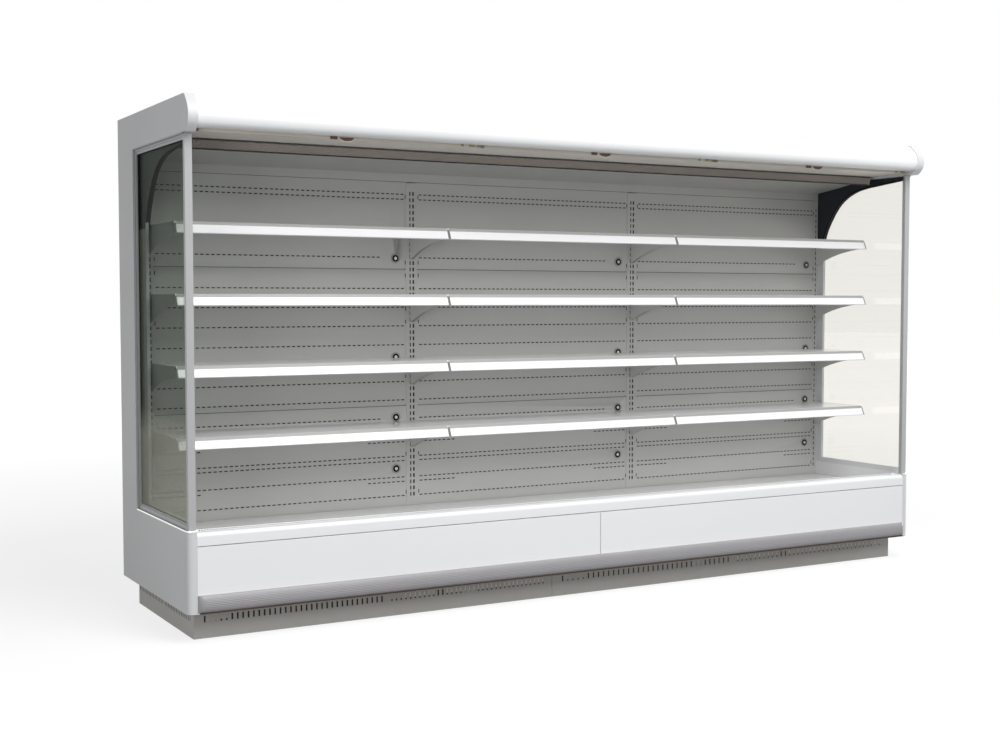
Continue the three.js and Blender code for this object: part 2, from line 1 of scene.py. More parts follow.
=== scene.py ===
"""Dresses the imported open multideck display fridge: finishes, fine cut-outs, trims, light and camera.

Metres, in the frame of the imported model: +X along the case, -Y towards the shopper, +Z up.
"""

import json
import logging
import math
from dataclasses import dataclass
from enum import Enum
from typing import Any, Sequence

import bmesh
import bpy
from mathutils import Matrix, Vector

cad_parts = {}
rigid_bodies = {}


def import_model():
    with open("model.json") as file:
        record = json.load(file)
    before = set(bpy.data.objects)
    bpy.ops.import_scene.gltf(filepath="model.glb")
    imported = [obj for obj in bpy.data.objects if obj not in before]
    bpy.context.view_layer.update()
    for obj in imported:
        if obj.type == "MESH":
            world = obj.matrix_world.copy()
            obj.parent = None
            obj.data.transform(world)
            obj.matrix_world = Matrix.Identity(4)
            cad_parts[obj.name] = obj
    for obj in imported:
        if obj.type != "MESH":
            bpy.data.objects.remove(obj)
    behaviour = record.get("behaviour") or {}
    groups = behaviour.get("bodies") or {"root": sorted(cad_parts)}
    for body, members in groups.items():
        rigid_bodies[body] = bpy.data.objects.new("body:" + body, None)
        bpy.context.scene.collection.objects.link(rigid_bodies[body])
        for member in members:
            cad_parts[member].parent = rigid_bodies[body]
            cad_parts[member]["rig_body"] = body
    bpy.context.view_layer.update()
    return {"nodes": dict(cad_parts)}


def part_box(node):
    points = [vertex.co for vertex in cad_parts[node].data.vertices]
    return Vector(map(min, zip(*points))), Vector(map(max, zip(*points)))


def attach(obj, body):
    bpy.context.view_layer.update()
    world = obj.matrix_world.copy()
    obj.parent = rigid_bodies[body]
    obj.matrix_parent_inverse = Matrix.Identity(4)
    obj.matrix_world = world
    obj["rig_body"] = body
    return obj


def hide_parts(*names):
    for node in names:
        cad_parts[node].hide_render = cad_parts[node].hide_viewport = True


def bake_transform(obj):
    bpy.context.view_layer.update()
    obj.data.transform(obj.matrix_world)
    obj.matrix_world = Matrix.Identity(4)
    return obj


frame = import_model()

LOG = logging.getLogger("display_fridge")
MM = 0.001

BAY = 1.25
BAY_CENTRES = (-BAY, 0.0, BAY)
INNER = 1.875  # inside face of an end wall
OUTER = 1.915  # outside face of an end wall
FRONT = -0.435  # front face of the lower body
ALONG_Y = (math.pi / 2, 0.0, 0.0)  # the turn that lays an upright peg along Y
FAIRING_SWEEP = (
    (-0.150, 1.932), (-0.069, 1.917), (0.014, 1.883), (0.082, 1.828), (0.153, 1.726), (0.185, 1.640),
)  # fmt: skip
Point2 = tuple[float, float]
Piece = bpy.types.Object
Tree = bpy.types.NodeTree
Socket = bpy.types.NodeSocket


# ---- Colour and node helpers ----


def linear(hex_colour: str) -> tuple[float, float, float, float]:
    """Turns an sRGB hex colour into linear RGBA.

    Args:
        hex_colour: Six hexadecimal digits, with or without a leading #.

    Returns:
        The colour's linear red, green and blue, and an alpha of 1.
    """
    digits = hex_colour.lstrip("#")
    values = [int(digits[i : i + 2], 16) / 255 for i in (0, 2, 4)]
    return (*[v / 12.92 if v <= 0.04045 else ((v + 0.055) / 1.055) ** 2.4 for v in values], 1.0)


def add_node(tree: Tree, kind: str, inputs: dict[Any, Any] | None = None, **settings: Any) -> bpy.types.Node:
    """Adds a node with its settings, and sets or links its inputs.

    Args:
        tree: The node tree that the node joins.
        kind: The node's bl_idname.
        inputs: Input name or index to a value, or to the output socket that feeds it.
        **settings: The node's own properties.

    Returns:
        The new node.
    """
    node = tree.nodes.new(kind)
    for name, value in settings.items():
        setattr(node, name, value)
    for key, value in (inputs or {}).items():
        if isinstance(value, Socket):
            tree.links.new(value, node.inputs[key])
        else:
            node.inputs[key].default_value = value
    return node


def emptied(owner: bpy.types.Material | bpy.types.World) -> Tree:
    """Turns on the nodes of a material or a world and returns its tree, emptied."""
    owner.use_nodes = True
    owner.node_tree.nodes.clear()
    return owner.node_tree


def seen_directly(tree: Tree) -> Socket:
    """Returns 1 for a ray from the camera, a mirror or glass, and 0 for one that only carries light."""
    path = add_node(tree, "ShaderNodeLightPath").outputs
    rays = {0: path["Is Camera Ray"], 1: path["Is Glossy Ray"]}
    either = add_node(tree, "ShaderNodeMath", rays, operation="MAXIMUM")
    rays = {0: either.outputs[0], 1: path["Is Transmission Ray"]}
    return add_node(tree, "ShaderNodeMath", rays, operation="MAXIMUM").outputs[0]


# ---- Finishes ----


class Grain(Enum):
    """How a surface was made, which sets the pattern of its bump."""

    SPRAYED = "sprayed"  # powder coat: shallow orange peel
    MOULDED = "moulded"  # fine spark-eroded mould texture
    BRUSHED = "brushed"  # long scratches along X
    SPANGLED = "spangled"  # zinc crystals
    WOVEN = "woven"  # plain weave of threads


@dataclass(frozen=True)
class Finish:
    """A surface finish: what it is made of and how it takes light."""

    name: str
    colour: str
    roughness: float
    grain: Grain
    pitch_mm: float  # size of one bump of the grain
    relief_mm: float  # height of the grain
    shade: float = 0.06  # how far the colour wanders from place to place
    wipes: float = 0.02  # how far the roughness wanders
    metallic: float = 0.0
    ior: float = 1.5
    coat: float = 0.0
    coat_roughness: float = 0.1

    def material(self) -> bpy.types.Material:
        """Builds the finish once and returns its material."""
        found = bpy.data.materials.get(self.name)
        if found:
            return found
        made = bpy.data.materials.new(self.name)
        tree = emptied(made)
        place = add_node(tree, "ShaderNodeTexCoord").outputs["Object"]
        surface = add_node(
            tree,
            "ShaderNodeBsdfPrincipled",
            {
                "Base Color": self._colour(tree, place),
                "Roughness": self._roughness(tree, place),
                "Normal": self._relief(tree, place),
                "Metallic": self.metallic,
                "IOR": self.ior,
                "Coat Weight": self.coat,
                "Coat Roughness": self.coat_roughness,
            },
        )
        add_node(tree, "ShaderNodeOutputMaterial", {"Surface": surface.outputs[0]})
        return made

    def _drift(self, tree: Tree, place: Socket, scale: float, detail: float, low: float, high: float) -> Socket:
        """Returns a value that drifts between two levels from place to place."""
        noise = add_node(tree, "ShaderNodeTexNoise", {"Vector": place, "Scale": scale, "Detail": detail})
        span = {"Value": noise.outputs[0], "From Min": 0.3, "From Max": 0.7, "To Min": low, "To Max": high}
        return add_node(tree, "ShaderNodeMapRange", span).outputs[0]

    def _colour(self, tree: Tree, place: Socket) -> Socket:
        """Returns the base colour, slightly uneven over a hand's width as handled sheet is."""
        level = self._drift(tree, place, 3.0, 3.0, 1 - self.shade, 1.0)
        scaled = {0: linear(self.colour)[:3], "Scale": level}
        return add_node(tree, "ShaderNodeVectorMath", scaled, operation="SCALE").outputs[0]

    def _roughness(self, tree: Tree, place: Socket) -> Socket:
        """Returns a roughness with faint wiped patches."""
        low = max(0.02, self.roughness - self.wipes)
        return self._drift(tree, place, 6.0, 2.0, low, self.roughness + self.wipes)

    def _relief(self, tree: Tree, place: Socket) -> Socket:
        """Returns the bumped normal of the grain."""
        per_metre = 1 / (self.pitch_mm * MM)
        stretch = {Grain.BRUSHED: (0.02, 1.0, 1.0)}.get(self.grain, (1.0, 1.0, 1.0))
        scale = [per_metre * s for s in stretch]
        mapped = add_node(tree, "ShaderNodeMapping", {"Vector": place, "Scale": scale}).outputs[0]
        if self.grain is Grain.SPANGLED:
            pattern = add_node(tree, "ShaderNodeTexVoronoi", {"Vector": mapped, "Scale": 1.0})
            height = pattern.outputs["Distance"]
        elif self.grain is Grain.WOVEN:
            threads = {"Vector": mapped, "Scale": 0.32}
            warp, weft = (add_node(tree, "ShaderNodeTexWave", threads, bands_direction=axis) for axis in "XZ")
            both = {0: warp.outputs[1], 1: weft.outputs[1]}
            height = add_node(tree, "ShaderNodeMath", both, operation="MAXIMUM").outputs[0]
        else:
            detail = 1.0 if self.grain is Grain.SPRAYED else 3.0
            grain = {"Vector": mapped, "Scale": 1.0, "Detail": detail}
            height = add_node(tree, "ShaderNodeTexNoise", grain).outputs[0]
        bump = {"Height": height, "Distance": self.relief_mm * MM, "Strength": 0.6}
        return add_node(tree, "ShaderNodeBump", bump).outputs[0]


@dataclass(frozen=True)
class PaneGlass:
    """Double glazing seen as one pane, which lets the lamps' light through."""

    name: str
    colour: str  # what one face lets through
    mirror: float  # share of light that one face mirrors
    painted_foot_light: float  # share of the lower part that a pale veil takes: painted light
    painted_light_top: float = 0.80  # where the painted light begins to thin out
    painted_light_fade: float = 0.12  # height over which it thins out
    film: float = 0.008  # share that the pale veil takes above it: a faint painted light

    def material(self) -> bpy.types.Material:
        """Builds the glass once and returns its material."""
        found = bpy.data.materials.get(self.name)
        if found:
            return found
        made = bpy.data.materials.new(self.name)
        tree = emptied(made)
        place = add_node(tree, "ShaderNodeTexCoord").outputs["Object"]
        height = add_node(tree, "ShaderNodeSeparateXYZ", {0: place}).outputs["Z"]
        cloud = add_node(tree, "ShaderNodeTexNoise", {"Vector": place, "Scale": 6.0, "Detail": 5.0})
        edge = {0: cloud.outputs[0], 1: 0.05, 2: height}
        ragged = add_node(tree, "ShaderNodeMath", edge, operation="MULTIPLY_ADD")
        painted_light_share = add_node(
            tree,
            "ShaderNodeMapRange",
            {
                "Value": ragged.outputs[0],
                "From Min": self.painted_light_top,
                "From Max": self.painted_light_top + self.painted_light_fade,
                "To Min": self.painted_foot_light,
                "To Max": self.film,
            },
        ).outputs[0]
        clear = add_node(tree, "ShaderNodeBsdfTransparent", {"Color": linear(self.colour)}).outputs[0]
        polish = {"Color": linear("FFFFFF"), "Roughness": 0.02}
        shine = add_node(tree, "ShaderNodeBsdfGlossy", polish).outputs[0]
        # The pale veil is painted light over the pane's foot.
        pale_veil = add_node(tree, "ShaderNodeBsdfDiffuse", {"Color": linear("F5F2E4")}).outputs[0]
        painted_light_glass = add_node(tree, "ShaderNodeMixShader", {0: painted_light_share, 1: clear, 2: pale_veil}).outputs[0]
        glass = add_node(tree, "ShaderNodeMixShader", {0: self.mirror, 1: painted_light_glass, 2: shine})
        add_node(tree, "ShaderNodeOutputMaterial", {"Surface": glass.outputs[0]})
        return made


# Powder-coated steel, gloss white: even film with shallow orange peel.
WHITE_COAT = Finish("white_powder_coat", "F3F4F5", 0.34, Grain.SPRAYED, 2.2, 0.012, 0.012, coat=0.15)
# Powder-coated steel of the end walls, rear wall and roof: the front's white made greyer as painted shade, in
# satin, with finer peel.
WALL_COAT = Finish("wall_powder_coat", "D9DADB", 0.45, Grain.SPRAYED, 1.8, 0.02, 0.02)
# Powder-coated steel of the lining, light grey satin.
LINING_COAT = Finish("lining_powder_coat", "CBCBC8", 0.45, Grain.SPRAYED, 2.0, 0.015, 0.03)
# Powder-coated steel over the shopper's head: the lining's grey, a shade warmer, and paler as painted light in
# place of bounce from the floor.
SOFFIT_COAT = Finish("soffit_powder_coat", "E6E2DB", 0.45, Grain.SPRAYED, 2.0, 0.015, 0.02)
# Powder-coated steel of the shelves and decks: bright white with a gloss that mirrors the lining.
SHELF_COAT = Finish("shelf_powder_coat", "EBEBEC", 0.3, Grain.SPRAYED, 2.2, 0.004, 0.015, coat=0.7)
# Co-extruded PVC ticket rail: very white, smooth and glossy.
TICKET_PVC = Finish("ticket_rail_pvc", "FDFDFF", 0.22, Grain.MOULDED, 3.0, 0.004, 0.005, coat=0.3)
# Grey satin PVC of the sockets' collars and of the ticket rail's hinge strip, where the grey is partly painted
# shade of the strip's upright face.
HINGE_PVC = Finish("hinge_strip_pvc", "A9A9A7", 0.4, Grain.MOULDED, 2.0, 0.006, 0.03)
# Polypropylene end caps of the ticket rails: a darker grey that draws the joints between shelves.
CAP_PP = Finish("rail_cap_polypropylene", "7C7C7A", 0.45, Grain.MOULDED, 1.2, 0.006, 0.04)
# Powder-coated steel of the plinth: warm mid grey, matt.
PLINTH_COAT = Finish("plinth_powder_coat", "BCBAB5", 0.5, Grain.SPRAYED, 1.6, 0.02, 0.05)
# Pale louvres in every second group of the plinth's slots: painted light, as if they catch the light.
LIT_SLOT_PALE = Finish("painted_light_slot_pale", "E6DFD9", 0.4, Grain.BRUSHED, 0.8, 0.004, 0.03)
# Dark grey, matt tabs behind the other groups of slots: painted shade.
SHADED_SLOT_GREY = Finish("painted_shade_slot_grey", "3C3C3B", 0.9, Grain.MOULDED, 0.8, 0.02, 0.1, ior=1.3)
# Extruded PVC bumper: grey-lilac, satin.
BUMPER_PVC = Finish("bumper_pvc", "A19FA2", 0.34, Grain.MOULDED, 0.9, 0.006, 0.04)
# Moulded ABS of the corner fairings: nearly black navy, satin.
NAVY_ABS = Finish("navy_abs", "1B242B", 0.4, Grain.MOULDED, 0.8, 0.008, 0.08)
# EPDM rubber edging: matt black; the same black also makes the painted shade in the lining's seams.
EDGING_AND_SEAM_SHADE = Finish("edge_rubber_and_seam_shade", "0E0F10", 0.8, Grain.MOULDED, 0.6, 0.01, 0.1, ior=1.3)
# Bright-anodised aluminium of the bead round the window: mirrors the pale room.
BRIGHT_BEAD = Finish("bright_anodised_aluminium", "F1F1F0", 0.22, Grain.BRUSHED, 0.8, 0.002, 0.02, metallic=1.0)
# Silicone that seats the glass in its frame: matt beige-grey.
GLAZING_SILICONE = Finish("glazing_silicone", "B9B6A6", 0.6, Grain.MOULDED, 1.2, 0.01, 0.04)
# Dark brown, matt strip under the bumper: painted shade of the gap under its edge.
BUMPER_GAP_SHADE_BROWN = Finish("bumper_gap_shade_brown", "4A372C", 0.6, Grain.MOULDED, 0.8, 0.008, 0.08)
# Anodised aluminium of the window frames: silky grey with lengthwise die lines.
ANODISED = Finish("anodised_aluminium", "B3B4B5", 0.42, Grain.BRUSHED, 0.6, 0.004, 0.03, metallic=0.1)
# Cream ABS of the blind bars and handles.
CREAM_ABS = Finish("cream_abs", "DCD5C8", 0.38, Grain.MOULDED, 0.8, 0.006, 0.04)
# Brown acetal of the blind stops.
BROWN_ACETAL = Finish("brown_acetal", "5E3F35", 0.45, Grain.MOULDED, 0.8, 0.006, 0.08)
# Olive acetal of the blind latches.
OLIVE_ACETAL = Finish("olive_acetal", "9C9769", 0.45, Grain.MOULDED, 0.8, 0.006, 0.08)
# Polypropylene honeycomb of the air outlet: pale warm grey, matt.
HONEYCOMB_PP = Finish("honeycomb_polypropylene", "D0C9C3", 0.6, Grain.MOULDED, 0.6, 0.004, 0.04)
# Black EPDM seals; the same matt black also makes the painted shade behind slots and holes.
SEALS_AND_SHADE_BLACK = Finish("seal_rubber_and_shade", "130D0C", 0.65, Grain.MOULDED, 0.5, 0.01, 0.1)
# Hot-dip galvanised steel: dull grey with spangles.
ZINC = Finish("galvanised_steel", "A3A6A7", 0.45, Grain.SPANGLED, 9.0, 0.01, 0.12, metallic=0.8)
# Mill-finish aluminium fin stock of the coil.
FIN_STOCK = Finish("fin_aluminium", "B4B7BA", 0.35, Grain.BRUSHED, 1.2, 0.02, 0.06, metallic=1.0)
# Glass-filled polypropylene of the fans: black, matt.
FAN_PP = Finish("fan_polypropylene", "222427", 0.55, Grain.MOULDED, 0.7, 0.008, 0.08)
# Polyester blind cloth with an aluminised face: pale, matt, plain weave of 1 mm threads.
BLIND_WEAVE = Finish("blind_polyester", "D9D7D0", 0.8, Grain.WOVEN, 1.0, 0.05, 0.05)
# White polyamide caps and clips.
WHITE_NYLON = Finish("white_polyamide", "F2F2EE", 0.4, Grain.MOULDED, 0.8, 0.006, 0.03)
# Zinc-plated screws: bright, slightly yellow steel.
SCREW_STEEL = Finish("plated_screw_steel", "9FA0A0", 0.35, Grain.BRUSHED, 0.4, 0.004, 0.06, metallic=1.0)
# Glass seen nearly edge-on: the right pane's glass, darker so that it passes half the light and with a weaker
# mirror, as painted shade; a pale veil over its foot is painted light.
SLANT_GLASS = PaneGlass("float_glass_left", "D6DAD6", 0.012, 0.3)
# Glass seen across the case: clear and warm, with faint images of the ticket rails and a faint painted light
# over its foot.
CLEAR_GLASS = PaneGlass("float_glass_right", "FAF9F6", 0.055, 0.012)


# ---- Mesh helpers ----


def new_object(name: str, mesh: bpy.types.Mesh, finish: Finish | PaneGlass) -> Piece:
    """Links a mesh as an object at the origin, with one material."""
    piece = bpy.data.objects.new(name, mesh)
    bpy.context.scene.collection.objects.link(piece)
    mesh.materials.clear()
    mesh.materials.append(finish.material())
    return piece


def smooth(mesh: bpy.types.Mesh, sharp_degrees: float = 32.0) -> None:
    """Shades a mesh smooth, except across edges sharper than an angle."""
    mesh.shade_smooth()
    mesh.set_sharp_from_angle(angle=math.radians(sharp_degrees))


def bake_modifiers(piece: Piece) -> None:
    """Turns a piece's modifiers into its plain mesh."""
    bpy.context.view_layer.update()
    graph = bpy.context.evaluated_depsgraph_get()
    mesh = bpy.data.meshes.new_from_object(piece.evaluated_get(graph), depsgraph=graph)
    mesh.name = piece.name
    piece.modifiers.clear()
    old = piece.data
    piece.data = mesh
    bpy.data.meshes.remove(old)


def bevelled(piece: Piece, width: float, segments: int = 2) -> Piece:
    """Rounds a piece's sharp edges by a real width, in metres, and keeps its flat faces flat."""
    bevel = piece.modifiers.new("edges", "BEVEL")
    bevel.width = width
    bevel.segments = segments
    bevel.limit_method = "ANGLE"
    bevel.angle_limit = math.radians(32)
    bevel.use_clamp_overlap = True
    bake_modifiers(piece)
    smooth(piece.data, 50.0)
    even = piece.modifiers.new("flats", "WEIGHTED_NORMAL")
    even.keep_sharp = True
    bake_modifiers(piece)
    return piece


def swept_along_x(name: str, section: Sequence[Point2], x0: float, x1: float, finish: Finish) -> Piece:
    """Sweeps a closed (y, z) section along X into a closed solid.

    Args:
        name: The piece's name.
        section: The section's corners, in order.
        x0: Where the sweep starts.
        x1: Where it ends.
        finish: The piece's finish.

    Returns:
        The new piece.
    """
    return swept_along(name, [[(x, y, z) for y, z in section] for x in (x0, x1)], finish)


def swept_along(name: str, rings: Sequence[Sequence[Sequence[float]]], finish: Finish) -> Piece:
    """Skins a closed solid over equal rings of points, with flat ends.

    Args:
        name: The piece's name.
        rings: The rings, in order; each is a closed loop of (x, y, z) corners.
        finish: The piece's finish.

    Returns:
        The new piece.
    """
    work = bmesh.new()
    loops = [[work.verts.new(point) for point in ring] for ring in rings]
    count = len(loops[0])
    for a, b in zip(loops, loops[1:]):
        for k in range(count):
            work.faces.new((a[k], a[(k + 1) % count], b[(k + 1) % count], b[k]))
    work.faces.new(loops[0])
    work.faces.new(loops[-1])
    bmesh.ops.recalc_face_normals(work, faces=work.faces)
    mesh = bpy.data.meshes.new(name)
    work.to_mesh(mesh)
    work.free()
    return new_object(name, mesh, finish)


def curve_through(knots: Sequence[Point2], steps: int) -> list[Point2]:
    """Returns points of a uniform Catmull-Rom curve through the knots.

    Args:
        knots: The points that the curve passes through.
        steps: How many points it has, less one.

    Returns:
        The curve's points.
    """
    points = []
    last = len(knots) - 1
    for i in range(steps + 1):
        place = last * i / steps
        k = min(int(place), last - 1)
        t = place - k
        a, b, c, d = (knots[max(0, min(last, k + j))] for j in (-1, 0, 1, 2))
        weights = (-t + 2 * t * t - t**3, 2 - 5 * t * t + 3 * t**3, t + 4 * t * t - 3 * t**3, t**3 - t * t)
        points.append(tuple(0.5 * sum(w * v for w, v in zip(weights, values)) for values in zip(a, b, c, d)))
    return points


def box_piece(name: str, low: Sequence[float], high: Sequence[float], finish: Finish) -> Piece:
    """Builds a block between two corners."""
    section = [(low[1], low[2]), (high[1], low[2]), (high[1], high[2]), (low[1], high[2])]
    return swept_along_x(name, section, low[0], high[0], finish)


def joined(name: str, pieces: Sequence[Piece]) -> Piece:
    """Joins pieces into one object that keeps every material."""
    work = bmesh.new()
    materials: list[bpy.types.Material] = []
    for piece in pieces:
        start = len(work.faces)
        slots = list(piece.data.materials)
        work.from_mesh(piece.data)
        work.faces.ensure_lookup_table()
        for face in work.faces[start:]:
            material = slots[face.material_index]
            if material not in materials:
                materials.append(material)
            face.material_index = materials.index(material)
    mesh = bpy.data.meshes.new(name)
    work.to_mesh(mesh)
    work.free()
    for piece in pieces:
        data = piece.data
        bpy.data.objects.remove(piece)
        bpy.data.meshes.remove(data)
    whole = bpy.data.objects.new(name, mesh)
    bpy.context.scene.collection.objects.link(whole)
    for material in materials:
        mesh.materials.append(material)
    return whole


def node_copy(node: str, name: str, finish: Finish | PaneGlass) -> Piece:
    """Copies a CAD node with its triangles merged back into flat faces."""
    work = bmesh.new()
    work.from_mesh(frame["nodes"][node].data)
    bmesh.ops.remove_doubles(work, verts=work.verts, dist=0.02 * MM)
    bmesh.ops.dissolve_limit(work, angle_limit=math.radians(0.2), verts=work.verts, edges=work.edges)
    mesh = bpy.data.meshes.new(name)
    work.to_mesh(mesh)
    work.free()
    return new_object(name, mesh, finish)


def rounded_copy(node: str, finish: Finish, width: float = 0.8 * MM) -> Piece:
    """Stands a copy with rounded edges in for a CAD node, on the node's own body."""
    body = frame["nodes"][node]["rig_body"]
    piece = bevelled(node_copy(node, f"{node}_skin", finish), width)
    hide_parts(node)
    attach(piece, body)
    LOG.info("%s: %d faces on %s", piece.name, len(piece.data.polygons), body)
    return piece


def dress(node: str, finish: Finish | PaneGlass) -> None:
    """Gives a CAD node that stays a finish."""
    for slot in frame["nodes"][node].material_slots:
        slot.material = finish.material()
    LOG.info("%s: wears %s", node, finish.name)


def fix(piece: Piece, body: str) -> Piece:
    """Puts a piece on its body and logs its number of faces."""
    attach(piece, body)
    LOG.info("%s: %d faces on %s", piece.name, len(piece.data.polygons), body)
    return piece


# ---- Repeats by Geometry Nodes ----


@dataclass(frozen=True)
class Row:
    """A straight row of equal things: where it starts, its step and how many there are."""

    start: tuple[float, float, float]
    step: tuple[float, float, float] = (0.0, 0.0, 0.0)
    count: int = 1


@dataclass(frozen=True)
class Block:
    """A block that a row repeats, by its size along X, Y and Z."""

    size: tuple[float, float, float]

    def sizes(self) -> dict[str, Any]:
        """Names the tree's inputs for the block, with their values."""
        return {"Size": self.size}

    def add_to(self, tree: Tree, entry: bpy.types.Node) -> Socket:
        """Adds the block's node and returns its geometry."""
        return add_node(tree, "GeometryNodeMeshCube", {"Size": entry.outputs["Size"]}).outputs["Mesh"]


@dataclass(frozen=True)
class Peg:
    """A round peg that a row repeats, turned from upright by Euler angles."""

    radius: float
    length: float
    turn: tuple[float, float, float]
    sides: int = 10

    def sizes(self) -> dict[str, Any]:
        """Names the tree's inputs for the peg, with their values."""
        return {"Sides": self.sides, "Radius": self.radius, "Length": self.length, "Turn": self.turn}

    def add_to(self, tree: Tree, entry: bpy.types.Node) -> Socket:
        """Adds the peg's nodes and returns its geometry."""
        given = entry.outputs
        sizes = {"Vertices": given["Sides"], "Radius": given["Radius"], "Depth": given["Length"]}
        upright = add_node(tree, "GeometryNodeMeshCylinder", sizes).outputs["Mesh"]
        turn = add_node(tree, "FunctionNodeEulerToRotation", {0: given["Turn"]}).outputs[0]
        return add_node(tree, "GeometryNodeTransform", {"Geometry": upright, "Rotation": turn}).outputs[0]


SOCKET_KINDS = {
    tuple: "NodeSocketVector",
    float: "NodeSocketFloat",
    int: "NodeSocketInt",
    bpy.types.Material: "NodeSocketMaterial",
}


def repeated(name: str, shape: Block | Peg, rows: Sequence[Row], finish: Finish) -> Piece:
    """Sets a shape on every place of some rows, by a Geometry Nodes tree with named inputs.

    Args:
        name: The name of the piece and of its tree.
        shape: What is repeated.
        rows: Where it stands.
        finish: The piece's finish.

    Returns:
        The rows as one plain mesh.
    """
    values: dict[str, Any] = {"Material": finish.material(), **shape.sizes()}
    for i, row in enumerate(rows, 1):
        values |= {f"Start {i}": row.start, f"Step {i}": row.step, f"Count {i}": row.count}
    tree = bpy.data.node_groups.new(name, "GeometryNodeTree")
    tree.interface.new_socket("Geometry", in_out="OUTPUT", socket_type="NodeSocketGeometry")
    sockets = {
        key: tree.interface.new_socket(key, in_out="INPUT", socket_type=SOCKET_KINDS[type(value)])
        for key, value in values.items()
    }
    entry = add_node(tree, "NodeGroupInput")
    places = add_node(tree, "GeometryNodeJoinGeometry")
    for i in range(1, len(rows) + 1):
        given = {"Count": f"Count {i}", "Start Location": f"Start {i}", "Offset": f"Step {i}"}
        given = {key: entry.outputs[value] for key, value in given.items()}
        line = add_node(tree, "GeometryNodeMeshLine", given, mode="OFFSET")
        tree.links.new(line.outputs[0], places.inputs[0])
    given = {"Points": places.outputs[0], "Instance": shape.add_to(tree, entry)}
    placed = add_node(tree, "GeometryNodeInstanceOnPoints", given)
    real = add_node(tree, "GeometryNodeRealizeInstances", {"Geometry": placed.outputs[0]})
    given = {"Geometry": real.outputs[0], "Material": entry.outputs["Material"]}
    painted = add_node(tree, "GeometryNodeSetMaterial", given)
    add_node(tree, "NodeGroupOutput", {0: painted.outputs[0]})

    piece = bpy.data.objects.new(name, bpy.data.meshes.new(name))
    bpy.context.scene.collection.objects.link(piece)
    modifier = piece.modifiers.new("rows", "NODES")
    modifier.node_group = tree
    for key, value in values.items():
        modifier[sockets[key].identifier] = value
    bake_modifiers(piece)
    return piece


def pierced(piece: Piece, shape: Block | Peg, rows: Sequence[Row]) -> Piece:
    """Cuts rows of holes through a piece.

    Args:
        piece: The piece, a closed solid.
        shape: The shape of one hole.
        rows: Where the holes are.

    Returns:
        The same piece.
    """
    cutter = repeated(f"{piece.name}_holes", shape, rows, EDGING_AND_SEAM_SHADE)
    cutter.data.materials.clear()
    holes = piece.modifiers.new("holes", "BOOLEAN")
    holes.operation = "DIFFERENCE"
    holes.solver = "MANIFOLD"
    holes.object = cutter
    bake_modifiers(piece)
    data = cutter.data
    bpy.data.objects.remove(cutter)
    bpy.data.meshes.remove(data)
    smooth(piece.data)
    return piece


# ---- Sub-assemblies ----


